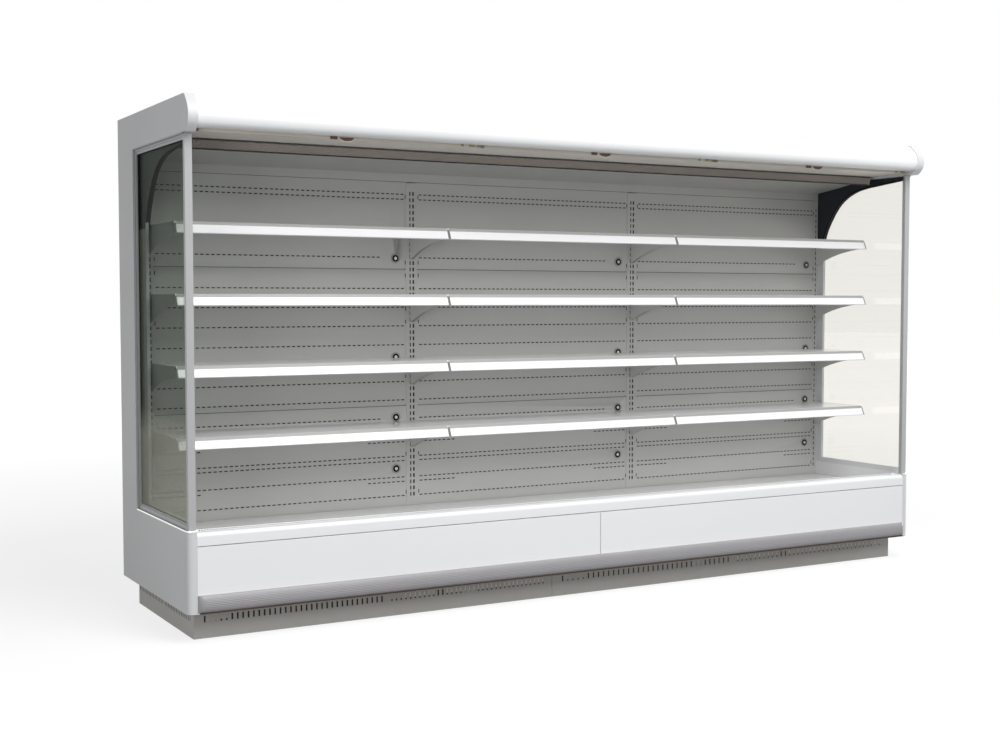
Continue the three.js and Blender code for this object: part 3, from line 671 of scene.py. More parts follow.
@dataclass
class Lining:
    """The perforated rear panels with their air slots, sockets, catches and screws."""

    slot: tuple[float, float, float] = (16 * MM, 12 * MM, 5 * MM)
    pitch: float = 24.8 * MM
    inset: float = 10 * MM
    face: float = 0.228
    sheet: float = 2 * MM
    full_rows: tuple[float, ...] = (
        1.8315, 1.8085, 1.394, 1.307, 1.220, 1.132, 1.045, 0.960, 0.874, 0.608, 0.588, 0.511, 0.423,
    )  # fmt: skip
    socket_rows: tuple[float, ...] = (1.538, 0.788)
    end_rows: tuple[float, ...] = (0.677, 0.490)
    end_length: float = 0.175
    catches: tuple[float, ...] = (1.820, 1.515, 1.455, 1.300, 1.240, 0.985, 0.620, 0.440)
    sockets: tuple[float, ...] = (1.534, 1.0755, 0.794, 0.553)
    socket_inset: float = 0.0840
    socket_room: float = 0.045  # width that the slots leave free beside a socket
    seams: tuple[float, ...] = (1.484, 0.847)
    head_seam: float = 1.8882

    def build(self) -> None:
        """Makes the three panels with what is set in them."""
        for number, centre in enumerate(BAY_CENTRES, 1):
            node = f"liner_panel_{number}"
            low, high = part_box(node)
            rows = self._rows(low.x, high.x)
            panel = pierced(node_copy(node, f"{node}_pierced", LINING_COAT), Block(self.slot), rows)
            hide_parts(node)
            fix(panel, "cabinet")
            fix(self._slot_shade(number, rows), "cabinet")
            fix(self._catches(number, low.x, high.x), "cabinet")
            fix(self._sockets(number, centre + BAY / 2 - self.socket_inset), "cabinet")
            fix(self._screws(number, high.x), "cabinet")
            fix(self._seam_shade(number, low.x, high.x), "cabinet")

    def _rows(self, x0: float, x1: float) -> list[Row]:
        """Returns the rows of air slots between a panel's edges."""
        first = x0 + self.inset + self.slot[0] / 2
        last = x1 - self.inset - self.slot[0] / 2
        gaps = round((last - first) / self.pitch)
        pitch = (last - first) / gaps
        step = (pitch, 0.0, 0.0)
        before_socket = int((x1 - self.socket_inset - self.socket_room - first) / pitch) + 1
        stub = int(self.end_length / pitch) + 1
        rows = [Row((first, self.face, z), step, gaps + 1) for z in self.full_rows]
        rows += [Row((first, self.face, z), step, before_socket) for z in self.socket_rows]
        for z in self.end_rows:
            rows.append(Row((first, self.face, z), step, stub))
            rows.append(Row((last - (stub - 1) * pitch, self.face, z), step, stub))
        return rows

    def _slot_shade(self, number: int, rows: Sequence[Row]) -> Piece:
        """Makes black strips behind the rows of slots: painted shade that hides the duct."""
        strips = []
        for row in rows:
            x, y, z = row.start
            end = x + row.step[0] * (row.count - 1)
            low = (x - 10 * MM, y + self.sheet + 0.3 * MM, z - 5 * MM)
            high = (end + 10 * MM, y + self.sheet + 1.3 * MM, z + 5 * MM)
            strips.append(box_piece("strip", low, high, SEALS_AND_SHADE_BLACK))
        return joined(f"liner_foam_{number}", strips)

    def _catches(self, number: int, x0: float, x1: float) -> Piece:
        """Makes the small dark tabs of the catches that show at a panel's side edges."""
        rows = [Row((x, self.face - 0.2 * MM, z)) for z in self.catches for x in (x0 + 6 * MM, x1 - 3 * MM)]
        return repeated(f"liner_catches_{number}", Block((3.4 * MM, 0.8 * MM, 17 * MM)), rows, EDGING_AND_SEAM_SHADE)

    def _sockets(self, number: int, x: float) -> Piece:
        """Makes the round bushes: a grey collar, a black ring and a white plug."""
        parts = []
        for name, radius, reach, finish in (
            ("collar", 23 * MM, 3.6 * MM, HINGE_PVC),
            ("ring", 16 * MM, 5.0 * MM, EDGING_AND_SEAM_SHADE),
            ("plug", 7.5 * MM, 6.2 * MM, WHITE_NYLON),
        ):
            rows = [Row((x, self.face - reach / 2, z)) for z in self.sockets]
            disc = repeated(f"socket_{name}", Peg(radius, reach, ALONG_Y, 28), rows, finish)
            parts.append(bevelled(disc, 0.8 * MM))
        return joined(f"liner_sockets_{number}", parts)

    def _seam_shade(self, number: int, x0: float, x1: float) -> Piece:
        """Makes dark strips in the seams between the panel's sheets: painted shade in the grooves."""
        parts = []
        for z, half, sunk in (*[(z, 0.9, 0.5) for z in self.seams], (self.head_seam, 0.8, -0.2)):
            low = (x0 + 1 * MM, self.face + sunk * MM, z - half * MM)
            high = (x1 - 1 * MM, self.face + 1.1 * MM, z + half * MM)
            parts.append(box_piece("seam_strip", low, high, EDGING_AND_SEAM_SHADE))
        return joined(f"liner_seams_{number}", parts)

    def _screws(self, number: int, x1: float) -> Piece:
        """Makes the small screws beside the seams."""
        rows = [Row((x1 - 8 * MM, self.face - 0.7 * MM, z + 4 * MM)) for z in self.seams]
        peg = Peg(2.6 * MM, 1.4 * MM, ALONG_Y, 14)
        return repeated(f"liner_screws_{number}", peg, rows, SCREW_STEEL)


@dataclass
class Shelving:
    """The shelves with their ticket rails, the deck trays and the uprights."""

    levels: int = 4
    strip_top: float = 13 * MM
    strip_bottom: float = 46 * MM
    end_gap: float = 5.0 * MM
    slot_pitch: float = 29.3 * MM
    slot_count: int = 49
    slot_height: float = 18 * MM
    slot_place: Point2 = (0.2275, 1.835)  # the top slot's (y, z)
    end_column: float = 0.015  # how far an end upright's slots lie from the end wall

    def build(self) -> None:
        """Makes every shelf and deck."""
        for level in range(1, self.levels + 1):
            for bay in (1, 2, 3):
                node = f"shelf_{level}_{bay}"
                rounded_copy(node, SHELF_COAT, 0.6 * MM)
                fix(self._ticket_rail(node), node)
        for bay in (1, 2, 3):
            rounded_copy(f"deck_{bay}", SHELF_COAT, 1.0 * MM)
        fix(self._deck_ends(), "cabinet")
        for number in (1, 2, 3, 4):
            self._upright(number)

    def _deck_ends(self) -> Piece:
        """Makes the pale skirting of the end walls, thin enough for a deck to lift past it."""
        half = 0.25 * MM
        parts = [
            box_piece("skirting", (x - half, -0.366, 0.3775), (x + half, 0.2255, 0.4462), SHELF_COAT)
            for x in (0.4 * MM - INNER, INNER - 0.4 * MM)
        ]
        return joined("deck_skirting", parts)

    def _upright(self, number: int) -> None:
        """Opens an upright's slots to their full width and sets a black strip behind them: painted shade in the
        upright's channel.
        """
        node = f"upright_{number}"
        middle = (number - 2.5) * BAY
        edge = math.copysign(INNER - self.end_column, middle)
        inner = {middle - 7.2 * MM: 6.5 * MM, middle + 9.2 * MM: 8.5 * MM}
        columns = {edge: 7 * MM} if abs(middle) > BAY else inner  # a column's place and its slots' width
        post = node_copy(node, f"{node}_skin", LINING_COAT)
        for x, width in columns.items():
            row = Row((x, *self.slot_place), (0.0, 0.0, -self.slot_pitch), self.slot_count)
            pierced(post, Block((width, 8 * MM, self.slot_height)), [row])
        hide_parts(node)
        fix(post, "cabinet")
        channel_shade = [
            box_piece("channel_shade_strip", (x - 6 * MM, 0.2292, 0.40), (x + 6 * MM, 0.2300, 1.85), SEALS_AND_SHADE_BLACK)
            for x in columns
        ]
        fix(joined(f"upright_foam_{number}", channel_shade), "cabinet")

    def _ticket_rail(self, node: str) -> Piece:
        """Makes a rail's ticket strip: a white extrusion with a curled lip above and below."""
        low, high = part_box(node)
        top = high.z
        slope = 15 / 34  # the rail's face leans out by 15 mm over 34 mm

        def on_face(drop: float, out: float) -> Point2:
            """A point on the rail's face, a drop below the shelf top and proud of the face."""
            return (-0.146 - (drop - 14 * MM) * slope - out, top - drop)

        head = ((0.0, -0.3), (-1.5, 1.2), (1.0, 2.2), (3.0, 1.4))
        lip = ((-4.0, 1.4), (-1.5, 2.4), (0.5, 1.4), (0.0, 0.1))
        section = [on_face(self.strip_top + drop * MM, out * MM) for drop, out in head]
        section += [on_face(self.strip_bottom + drop * MM, out * MM) for drop, out in lip]
        x0, x1 = low.x + self.end_gap, high.x - self.end_gap
        strip = bevelled(swept_along_x("strip", section, x0, x1, TICKET_PVC), 0.35 * MM)
        # The hinge strip's grey stands partly for painted shade on its upright face.
        hinge = ((-0.1405, 0.4), (-0.1432, 0.6), (-0.1478, 12.8), (-0.1448, 13.4))
        hinge = [(y, top - drop * MM) for y, drop in hinge]
        parts = [strip, bevelled(swept_along_x("hinge", hinge, x0, x1, HINGE_PVC), 0.4 * MM)]
        cap = [on_face(0.5 * MM, -6 * MM), on_face(0.8 * MM, -2.0 * MM), on_face(self.strip_top, 2.6 * MM)]
        cap += [on_face(self.strip_bottom + 1.0 * MM, 2.6 * MM), on_face(self.strip_bottom + 2.4 * MM, -3 * MM)]
        wide = self.end_gap - 0.4 * MM
        for x in (low.x + 0.2 * MM, high.x - self.end_gap + 0.2 * MM):
            parts.append(bevelled(swept_along_x("cap", cap, x, x + wide, CAP_PP), 0.4 * MM))
        return joined(f"ticket_rail_{node[6:]}", parts)


@dataclass
class AirOutlet:
    """The honeycomb air outlet between two seals, with its end caps."""

    top: Point2 = (-0.1977, 1.985)
    bottom: Point2 = (-0.184, 1.943)
    cell: float = 6.5 * MM
    wall: float = 0.5 * MM
    depth: float = 6 * MM
    back: float = 15.5 * MM  # depth of the tray
    end: float = 1.849
    margin: float = 3.5 * MM
    rows: int = 6

    def __post_init__(self) -> None:
        """Works out the width of the outlet's face and its directions."""
        across = Vector((0, *self.bottom)) - Vector((0, *self.top))
        self.width: float = across.length
        self.down: Vector = across.normalized()
        self.out: Vector = Vector((0, self.down.z, -self.down.y))

    def build(self) -> None:
        """Makes the housing, the honeycomb ribbons, the seals and the end caps."""
        ribbons = self._ribbons()
        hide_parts("air_outlet")
        fix(ribbons, "cabinet")
        fix(self._housing(), "cabinet")
        fix(self._seals(), "cabinet")

    def _at(self, s: float, t: float) -> Point2:
        """Returns the (y, z) point a way down the face and proud of it."""
        point = Vector((0, *self.top)) + self.down * s + self.out * t
        return (point.y, point.z)

    def _bar(self, name: str, down: Point2, out: Point2, along: Point2, finish: Finish) -> Piece:
        """Makes a bar of the outlet.

        Args:
            name: The piece's name.
            down: Where it starts and ends down the face.
            out: Its back and its front, measured out of the face.
            along: Its two ends along X.
            finish: The piece's finish.

        Returns:
            The new piece.
        """
        (s0, s1), (t0, t1) = down, out
        section = [self._at(s, t) for s, t in ((s0, t0), (s0, t1), (s1, t1), (s1, t0))]
        return swept_along_x(name, section, *along, finish)

    def _ribbons(self) -> Piece:
        """Makes corrugated ribbons whose crests touch, which is what a honeycomb is."""
        pitch = (self.width - 2 * self.margin) / self.rows
        half = (pitch - self.wall) / 2
        steps = int(2 * self.end / (self.cell / 2))
        levels = (-1, -1, 1, 1)  # flat, ramp, flat, ramp: one corrugation
        corners = ((-1, -1.0 * MM), (1, -1.0 * MM), (1, -self.depth), (-1, -self.depth))
        ribbons = []
        for row in range(self.rows):
            middle = self.margin + pitch * (row + 0.5)
            flip = 1 if row % 2 else -1
            rings = []
            for i in range(steps + 1):
                x = -self.end + 2 * self.end * i / steps
                s = middle + flip * levels[i % 4] * half
                rings.append([(x, *self._at(s + ds * self.wall / 2, t)) for ds, t in corners])
            ribbons.append(swept_along("ribbon", rings, HONEYCOMB_PP))
        return joined("outlet_honeycomb", ribbons)

    def _housing(self) -> Piece:
        """Makes the tray behind the honeycomb and its light end caps."""
        near, far, floor = 1.2 * MM, self.width - 1.2 * MM, -6.5 * MM
        tray = [(0.0, 0.0), (near, 0.0), (near, floor), (far, floor), (far, 0.0), (self.width, 0.0)]
        tray += [(self.width, -self.back), (0.0, -self.back)]
        section = [self._at(s, t) for s, t in tray]
        parts = [swept_along_x("outlet_tray", section, -self.end, self.end, HONEYCOMB_PP)]
        down, out = (0.2 * MM, self.width), (-self.back, 0.8 * MM)
        for x0 in (-self.end - 3 * MM, self.end):
            parts.append(self._bar("outlet_end", down, out, (x0, x0 + 3 * MM), HONEYCOMB_PP))
        return joined("outlet_housing", parts)

    def _seals(self) -> Piece:
        """Makes the two black edge seals."""
        spans = ((0.2 * MM, 3.4 * MM), (self.width - 5.2 * MM, self.width - 0.2 * MM))
        out, along = (-2 * MM, 0.8 * MM), (-self.end, self.end)
        parts = [self._bar("outlet_seal", span, out, along, SEALS_AND_SHADE_BLACK) for span in spans]
        return joined("outlet_seals", parts)


@dataclass
class NightBlinds:
    """The blind bars with their handles, latches and stops, the cloth and the rollers."""

    bar_front: float = -0.442
    bar_bottom: float = 1.986
    cloth_half: float = 0.596
    cloth_plane: float = -0.430
    roller_z: float = 2.062
    bar_top: float = 2.006

    def build(self) -> None:
        """Makes the three blinds."""
        for number, centre in enumerate(BAY_CENTRES, 1):
            body = f"blind_{number}"
            rounded_copy(f"blind_bar_{number}", CREAM_ABS, 0.8 * MM)
            fix(self._handle(number, centre), body)
            fix(self._latches(number, centre), body)
            dress(f"blind_roller_{number}", BLIND_WEAVE)
            self._cloth(number, centre)

    def _handle(self, number: int, centre: float) -> Piece:
        """Makes the pull: a cream bow, the brown plate inside it and the brown spring block beside it."""
        middle = centre + 10 * MM
        front, foot = self.bar_front, self.bar_bottom
        knots = [(-39.5, 11), (-24, -5), (0, -10), (24, -5), (39.5, 11)]
        route = curve_through([(u * MM, v * MM) for u, v in knots], 28)
        section = ((-3.3, -0.3), (0.6, -0.3), (0.6, 3.3), (-3.3, 3.3))
        rings = [[(middle + x, front + dy * MM, foot + z + dz * MM) for dy, dz in section] for x, z in route]
        bow = bevelled(swept_along("pull_bow", rings, CREAM_ABS), 0.7 * MM)
        inner = [(x * 0.94, z + 3.4 * MM) for x, z in route]
        inner = [(x, z) for x, z in inner if z < 10.5 * MM]
        faces = [[(middle + x, front + dy * MM, foot + z) for x, z in inner] for dy in (-0.9, 0.9)]
        plate = swept_along("pull_plate", faces, BROWN_ACETAL)
        low = (centre - 62.5 * MM, front - 3.4 * MM, foot - 1.4 * MM)
        high = (centre - 31.5 * MM, front + 0.8 * MM, foot + 11.4 * MM)
        block = bevelled(box_piece("pull_block", low, high, BROWN_ACETAL), 1.4 * MM)
        return joined(f"blind_pull_{number}", [bow, plate, block])

    def _latches(self, number: int, centre: float) -> Piece:
        """Makes the olive clips near the bar's right end."""
        parts = []
        for x0, x1 in ((569.5, 597.5), (532.0, 544.0)):
            low = (centre + x0 * MM, self.bar_front - 2.5 * MM, self.bar_bottom + 1.4 * MM)
            high = (centre + x1 * MM, self.bar_front + 0.8 * MM, self.bar_bottom + 12.6 * MM)
            parts.append(bevelled(box_piece("latch", low, high, OLIVE_ACETAL), 1.0 * MM))
        return joined(f"blind_latches_{number}", parts)

    def _cloth(self, number: int, centre: float) -> None:
        """Makes the free strip of cloth between roller and bar."""
        half, plane, thick = self.cloth_half, self.cloth_plane, 0.5 * MM
        steps = 24
        length = self.roller_z - self.bar_top
        corners = ((-half, 0.0), (half, 0.0), (half, thick), (-half, thick))
        heights = [self.roller_z - length * i / steps for i in range(steps + 1)]
        rings = [[(centre + x, plane + y, z) for x, y in corners] for z in heights]
        strip = swept_along(f"blind_strip_{number}", rings, BLIND_WEAVE)
        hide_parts(f"blind_cloth_{number}")
        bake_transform(strip)
        LOG.info("%s: strip of %.3f by %.3f m", strip.name, 2 * half, length)


@dataclass
class ReturnGrille:
    """The perforated strip behind the handrail, where the air goes back."""

    hole: float = 3.0 * MM  # radius
    pitch: float = 11.3 * MM
    rows: int = 5
    crest: Point2 = (-0.372, 0.441)
    foot: Point2 = (-0.3185, 0.388)
    first_share: float = 0.09  # how far down the rear slope the first row lies
    row_share: float = 0.17  # how far apart the rows are

    def build(self) -> None:
        """Makes the pierced strip."""
        low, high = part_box("return_air_grille")
        count = int((high.x - low.x - 0.04) / self.pitch)
        first = -self.pitch * (count - 1) / 2
        slope = math.atan2(self.crest[1] - self.foot[1], self.foot[0] - self.crest[0])
        rows = []
        for i in range(self.rows):
            share = self.first_share + i * self.row_share
            y = self.crest[0] + (self.foot[0] - self.crest[0]) * share
            z = self.crest[1] + (self.foot[1] - self.crest[1]) * share
            shift = self.pitch / 2 * (i % 2)
            rows.append(Row((first + shift, y, z), (self.pitch, 0.0, 0.0), count - i % 2))
        strip = node_copy("return_air_grille", "return_grille_pierced", SHELF_COAT)
        pierced(strip, Peg(self.hole, 12 * MM, (-slope, 0.0, 0.0)), rows)
        place = (first, *self._down(4.6 * MM, 0.0))
        front = Row(place, (self.pitch, 0.0, 0.0), count)
        pierced(strip, Peg(3.5 * MM, 8 * MM, (math.pi / 4, 0.0, 0.0)), [front])
        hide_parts("return_air_grille")
        fix(strip, "cabinet")
        fix(self._hem(low.x, high.x), "cabinet")
        fix(self._hole_shade(low.x, high.x), "cabinet")

    def _down(self, along: float, out: float) -> Point2:
        """Returns the (y, z) point a way down the front slope and proud of it."""
        slope = math.sqrt(0.5)
        return (self.crest[0] - (along + out) * slope, self.crest[1] - (along - out) * slope)

    def _hem(self, x0: float, x1: float) -> Piece:
        """Makes the bright rolled hem under the row of holes in the front slope."""
        corners = ((8.8, -0.2), (9.4, 1.3), (12.2, 1.9), (13.8, -0.2))
        section = [self._down(s * MM, t * MM) for s, t in corners]
        return bevelled(swept_along_x("grille_hem", section, x0 + 1 * MM, x1 - 1 * MM, TICKET_PVC), 0.3 * MM)

    def _hole_shade(self, x0: float, x1: float) -> Piece:
        """Makes a black sheet behind the front slope's holes: painted shade in the holes."""
        corners = ((0.8, -3.0), (8.4, -3.0), (8.4, -4.0), (0.8, -4.0))
        section = [self._down(s * MM, t * MM) for s, t in corners]
        return swept_along_x("grille_hole_shade", section, x0 + 2 * MM, x1 - 2 * MM, SEALS_AND_SHADE_BLACK)


@dataclass
class Plinth:
    """The plinth's slots: tongues in the first of each group, and in the rest dark tabs of painted shade in
    some groups and pale louvres of painted light in the others.
    """

    slot_low: float = 0.064
    slot_high: float = 0.090
    front: float = -0.346
    side: float = 1.866
    groups: tuple[Point2, ...] = ((-1.820, 0.0227), (-1.002, 0.0221), (-0.147, 0.0280), (0.864, 0.0276))
    count: int = 35
    foot: float = 7 * MM  # height of a slot's open foot

    def build(self) -> None:
        """Makes the plinth's parts."""
        for side, sign in (("left", -1), ("right", 1)):
            rows = self._side_rows(sign * self.side)
            high = self.slot_high - self.slot_low
            panel = node_copy(f"plinth_{side}", f"plinth_{side}_pierced", PLINTH_COAT)
            pierced(panel, Block((12 * MM, 9 * MM, high)), rows)
            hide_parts(f"plinth_{side}")
            fix(panel, "cabinet")
            # Black blocks set in the side slots: painted shade in the slots' depth.
            rows = self._side_rows(sign * (self.side - 1.8 * MM))
            plug = Block((2.4 * MM, 8.8 * MM, high - 0.4 * MM))
            side_slot_shade = repeated(f"plinth_plugs_{side}", plug, rows, SEALS_AND_SHADE_BLACK)
            fix(side_slot_shade, "cabinet")
        # The dark tabs are painted shade and the pale louvres painted light; the tongues keep the plinth's
        # grey.
        bright = ((5.8, 1.4), 1.6, LIT_SLOT_PALE, "galvanised")
        for name, shape, depth, finish, slot, spans in (
            ("plinth_tongues", (7.3, 1.4), 1.0, PLINTH_COAT, "plinth_grey", ((1, 4), (0, 2), (1, 4), None)),
            ("plinth_shaded_tabs", (20.0, 1.0), 4.2, SHADED_SLOT_GREY, "fan_black", ((7, 34), None, (7, 34), None)),
            ("plinth_louvres", *bright, (None, (3, 9), None, (0, 9))),
            ("plinth_louvres_2", *bright, (None, (12, 34), None, (12, 34))),
        ):
            fix(self._fillers(name, shape, depth, finish, spans), "cabinet")
        fix(self._shade(), "cabinet")

    def _side_rows(self, x: float) -> list[Row]:
        """Returns the two rows of slots in a side return of the plinth."""
        middle = (self.slot_low + self.slot_high) / 2
        return [Row((x, y, middle), (0.0, self.groups[0][1], 0.0), 16) for y in (-0.300, 0.076)]

    def _fillers(
        self,
        name: str,
        shape: tuple[float, float],
        depth: float,
        finish: Finish,
        spans: Sequence[tuple[int, int] | None],
    ) -> Piece:
        """Makes what fills the slots above their open feet.

        Args:
            name: The piece's name.
            shape: Its width and thickness in millimetres.
            depth: How far its middle lies behind the plinth's face, in millimetres.
            finish: Its finish.
            spans: For each group, the first and the last slot that it fills, or None.

        Returns:
            The fillers as one piece.
        """
        low, high = self.slot_low + self.foot, self.slot_high
        rows = []
        for (start, pitch), span in zip(self.groups, spans):
            if span:
                place = (start + span[0] * pitch, self.front + depth * MM, (low + high) / 2)
                rows.append(Row(place, (pitch, 0.0, 0.0), span[1] - span[0] + 1))
        return repeated(name, Block((shape[0] * MM, shape[1] * MM, high - low)), rows, finish)

    def _shade(self) -> Piece:
        """Makes a black sheet behind all the slots: painted shade that hides the space under the case."""
        shade_sheets = []
        for start, pitch in self.groups:
            end = start + (self.count - 1) * pitch
            low = (start - 9 * MM, self.front + 5.2 * MM, self.slot_low - 9 * MM)
            high = (end + 9 * MM, self.front + 6.4 * MM, self.slot_high + 12 * MM)
            shade_sheets.append(box_piece("shade_sheets", low, high, SEALS_AND_SHADE_BLACK))
        return joined("plinth_painted_shade", shade_sheets)


@dataclass
class Cabinet:
    """The outside of the case, and what is hidden in it: tub, base frame, coil and fans."""

    wall_inset: float = 0.03  # how far the rear wall's outer screws lie from its edges
    roof_insets: Point2 = (0.04, 0.03)  # how far the roof's screws lie from its ends and sides

    def build(self) -> None:
        """Rounds the sheet metal, dresses the rest, and makes the bumper, rear wall and screws."""
        for finish, width_mm, nodes in (
            (WHITE_COAT, 0.8, ("canopy_front",)),
            (SOFFIT_COAT, 0.6, ("canopy_soffit",)),
            (LINING_COAT, 0.6, ("duct_ceiling",)),
            (WHITE_COAT, 0.8, ("handrail",)),
            (WHITE_COAT, 3.5, ("front_panel_left", "front_panel_right")),
            (WALL_COAT, 1.2, ("end_wall_left", "end_wall_right")),
            (ANODISED, 0.6, ("window_frame_left", "window_frame_right")),
            (NAVY_ABS, 0.5, ("corner_fairing_left", "corner_fairing_right")),
            (WALL_COAT, 1.0, ("roof",)),
            (LINING_COAT, 1.0, ("tub",)),
        ):
            for node in nodes:
                rounded_copy(node, finish, width_mm * MM)
        for finish, nodes in (
            (ZINC, ("base_frame", "fan_plate")),
            (FIN_STOCK, ("coil",)),
            (SLANT_GLASS, ("window_pane_left",)),
            (CLEAR_GLASS, ("window_pane_right",)),
            (FAN_PP, ("fan_1", "fan_2", "fan_3")),
        ):
            for node in nodes:
                dress(node, finish)
        self._bumper()
        fix(self._bumper_gap_shade(), "cabinet")
        self._rear_wall()
        fix(self._roof_screws(), "cabinet")

    def _bumper(self) -> None:
        """Makes the bumper with the ends of the rail turned round towards the front panel."""
        radius, back = 22 * MM, -0.4353
        piece = node_copy("bumper", "bumper_skin", BUMPER_PVC)
        work = bmesh.new()
        work.from_mesh(piece.data)
        end = max(vertex.co.x for vertex in work.verts)
        for side in (-1, 1):
            for i in range(7):
                cut = Vector((side * (end - radius + radius * math.sin(math.radians(13 * i))), 0, 0))
                parts = [*work.verts, *work.edges, *work.faces]
                bmesh.ops.bisect_plane(work, geom=parts, plane_co=cut, plane_no=(1, 0, 0))
        for vertex in work.verts:
            past = (abs(vertex.co.x) - end + radius) / radius
            if past > 0:
                vertex.co.y = back + (vertex.co.y - back) * max(0.1, math.sqrt(max(0.0, 1 - past * past)))
        work.to_mesh(piece.data)
        work.free()
        smooth(piece.data, 28.0)
        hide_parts("bumper")
        fix(piece, "cabinet")

    def _bumper_gap_shade(self) -> Piece:
        """Makes a dark brown strip along the bumper's lower edge: painted shade of the gap there."""
        x = INNER - 6 * MM
        return box_piece("bumper_gap_shade", (-x, -0.4515, 0.1196), (x, -0.4390, 0.1226), BUMPER_GAP_SHADE_BROWN)

    def _rear_wall(self) -> None:
        """Makes the rear wall, with screws sunk into dimples round its edge and up its middle."""
        low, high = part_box("rear_wall")
        x0, x1 = low.x + self.wall_inset, high.x - self.wall_inset
        z0, z1 = low.z + self.wall_inset, high.z - self.wall_inset
        across, up = 13, 7
        places = [((x0, z), ((x1 - x0) / (across - 1), 0.0, 0.0), across) for z in (z0, z1)]
        rise = (0.0, 0.0, (z1 - z0 - 0.4) / (up - 1))
        places += [((x, z0 + 0.2), rise, up) for x in (x0, -BAY / 2, BAY / 2, x1)]

        def rows(sunk: float) -> list[Row]:
            """The rows of screws at a depth below the wall's face."""
            return [Row((x, high.y - sunk, z), step, count) for (x, z), step, count in places]

        wall = node_copy("rear_wall", "rear_wall_skin", WALL_COAT)
        wall = bevelled(pierced(wall, Peg(7 * MM, 3.0 * MM, ALONG_Y, 14), rows(0.0)), 0.3 * MM)
        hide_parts("rear_wall")
        fix(wall, "cabinet")
        heads = repeated("rear_screws", Peg(5 * MM, 1.2 * MM, ALONG_Y, 14), rows(0.9 * MM), SCREW_STEEL)
        fix(bevelled(heads, 0.4 * MM), "cabinet")

    def _roof_screws(self) -> Piece:
        """Makes the screws along the roof's edges."""
        low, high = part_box("roof")
        from_end, from_side = self.roof_insets
        x0, x1 = low.x + from_end, high.x - from_end
        across = 13
        step = ((x1 - x0) / (across - 1), 0.0, 0.0)
        rows = [Row((x0, y, high.z + 0.2 * MM), step, across) for y in (low.y + from_side, high.y - from_side)]
        heads = repeated("roof_screws", Peg(5 * MM, 1.6 * MM, (0.0, 0.0, 0.0), 14), rows, SCREW_STEEL)
        return bevelled(heads, 0.5 * MM)


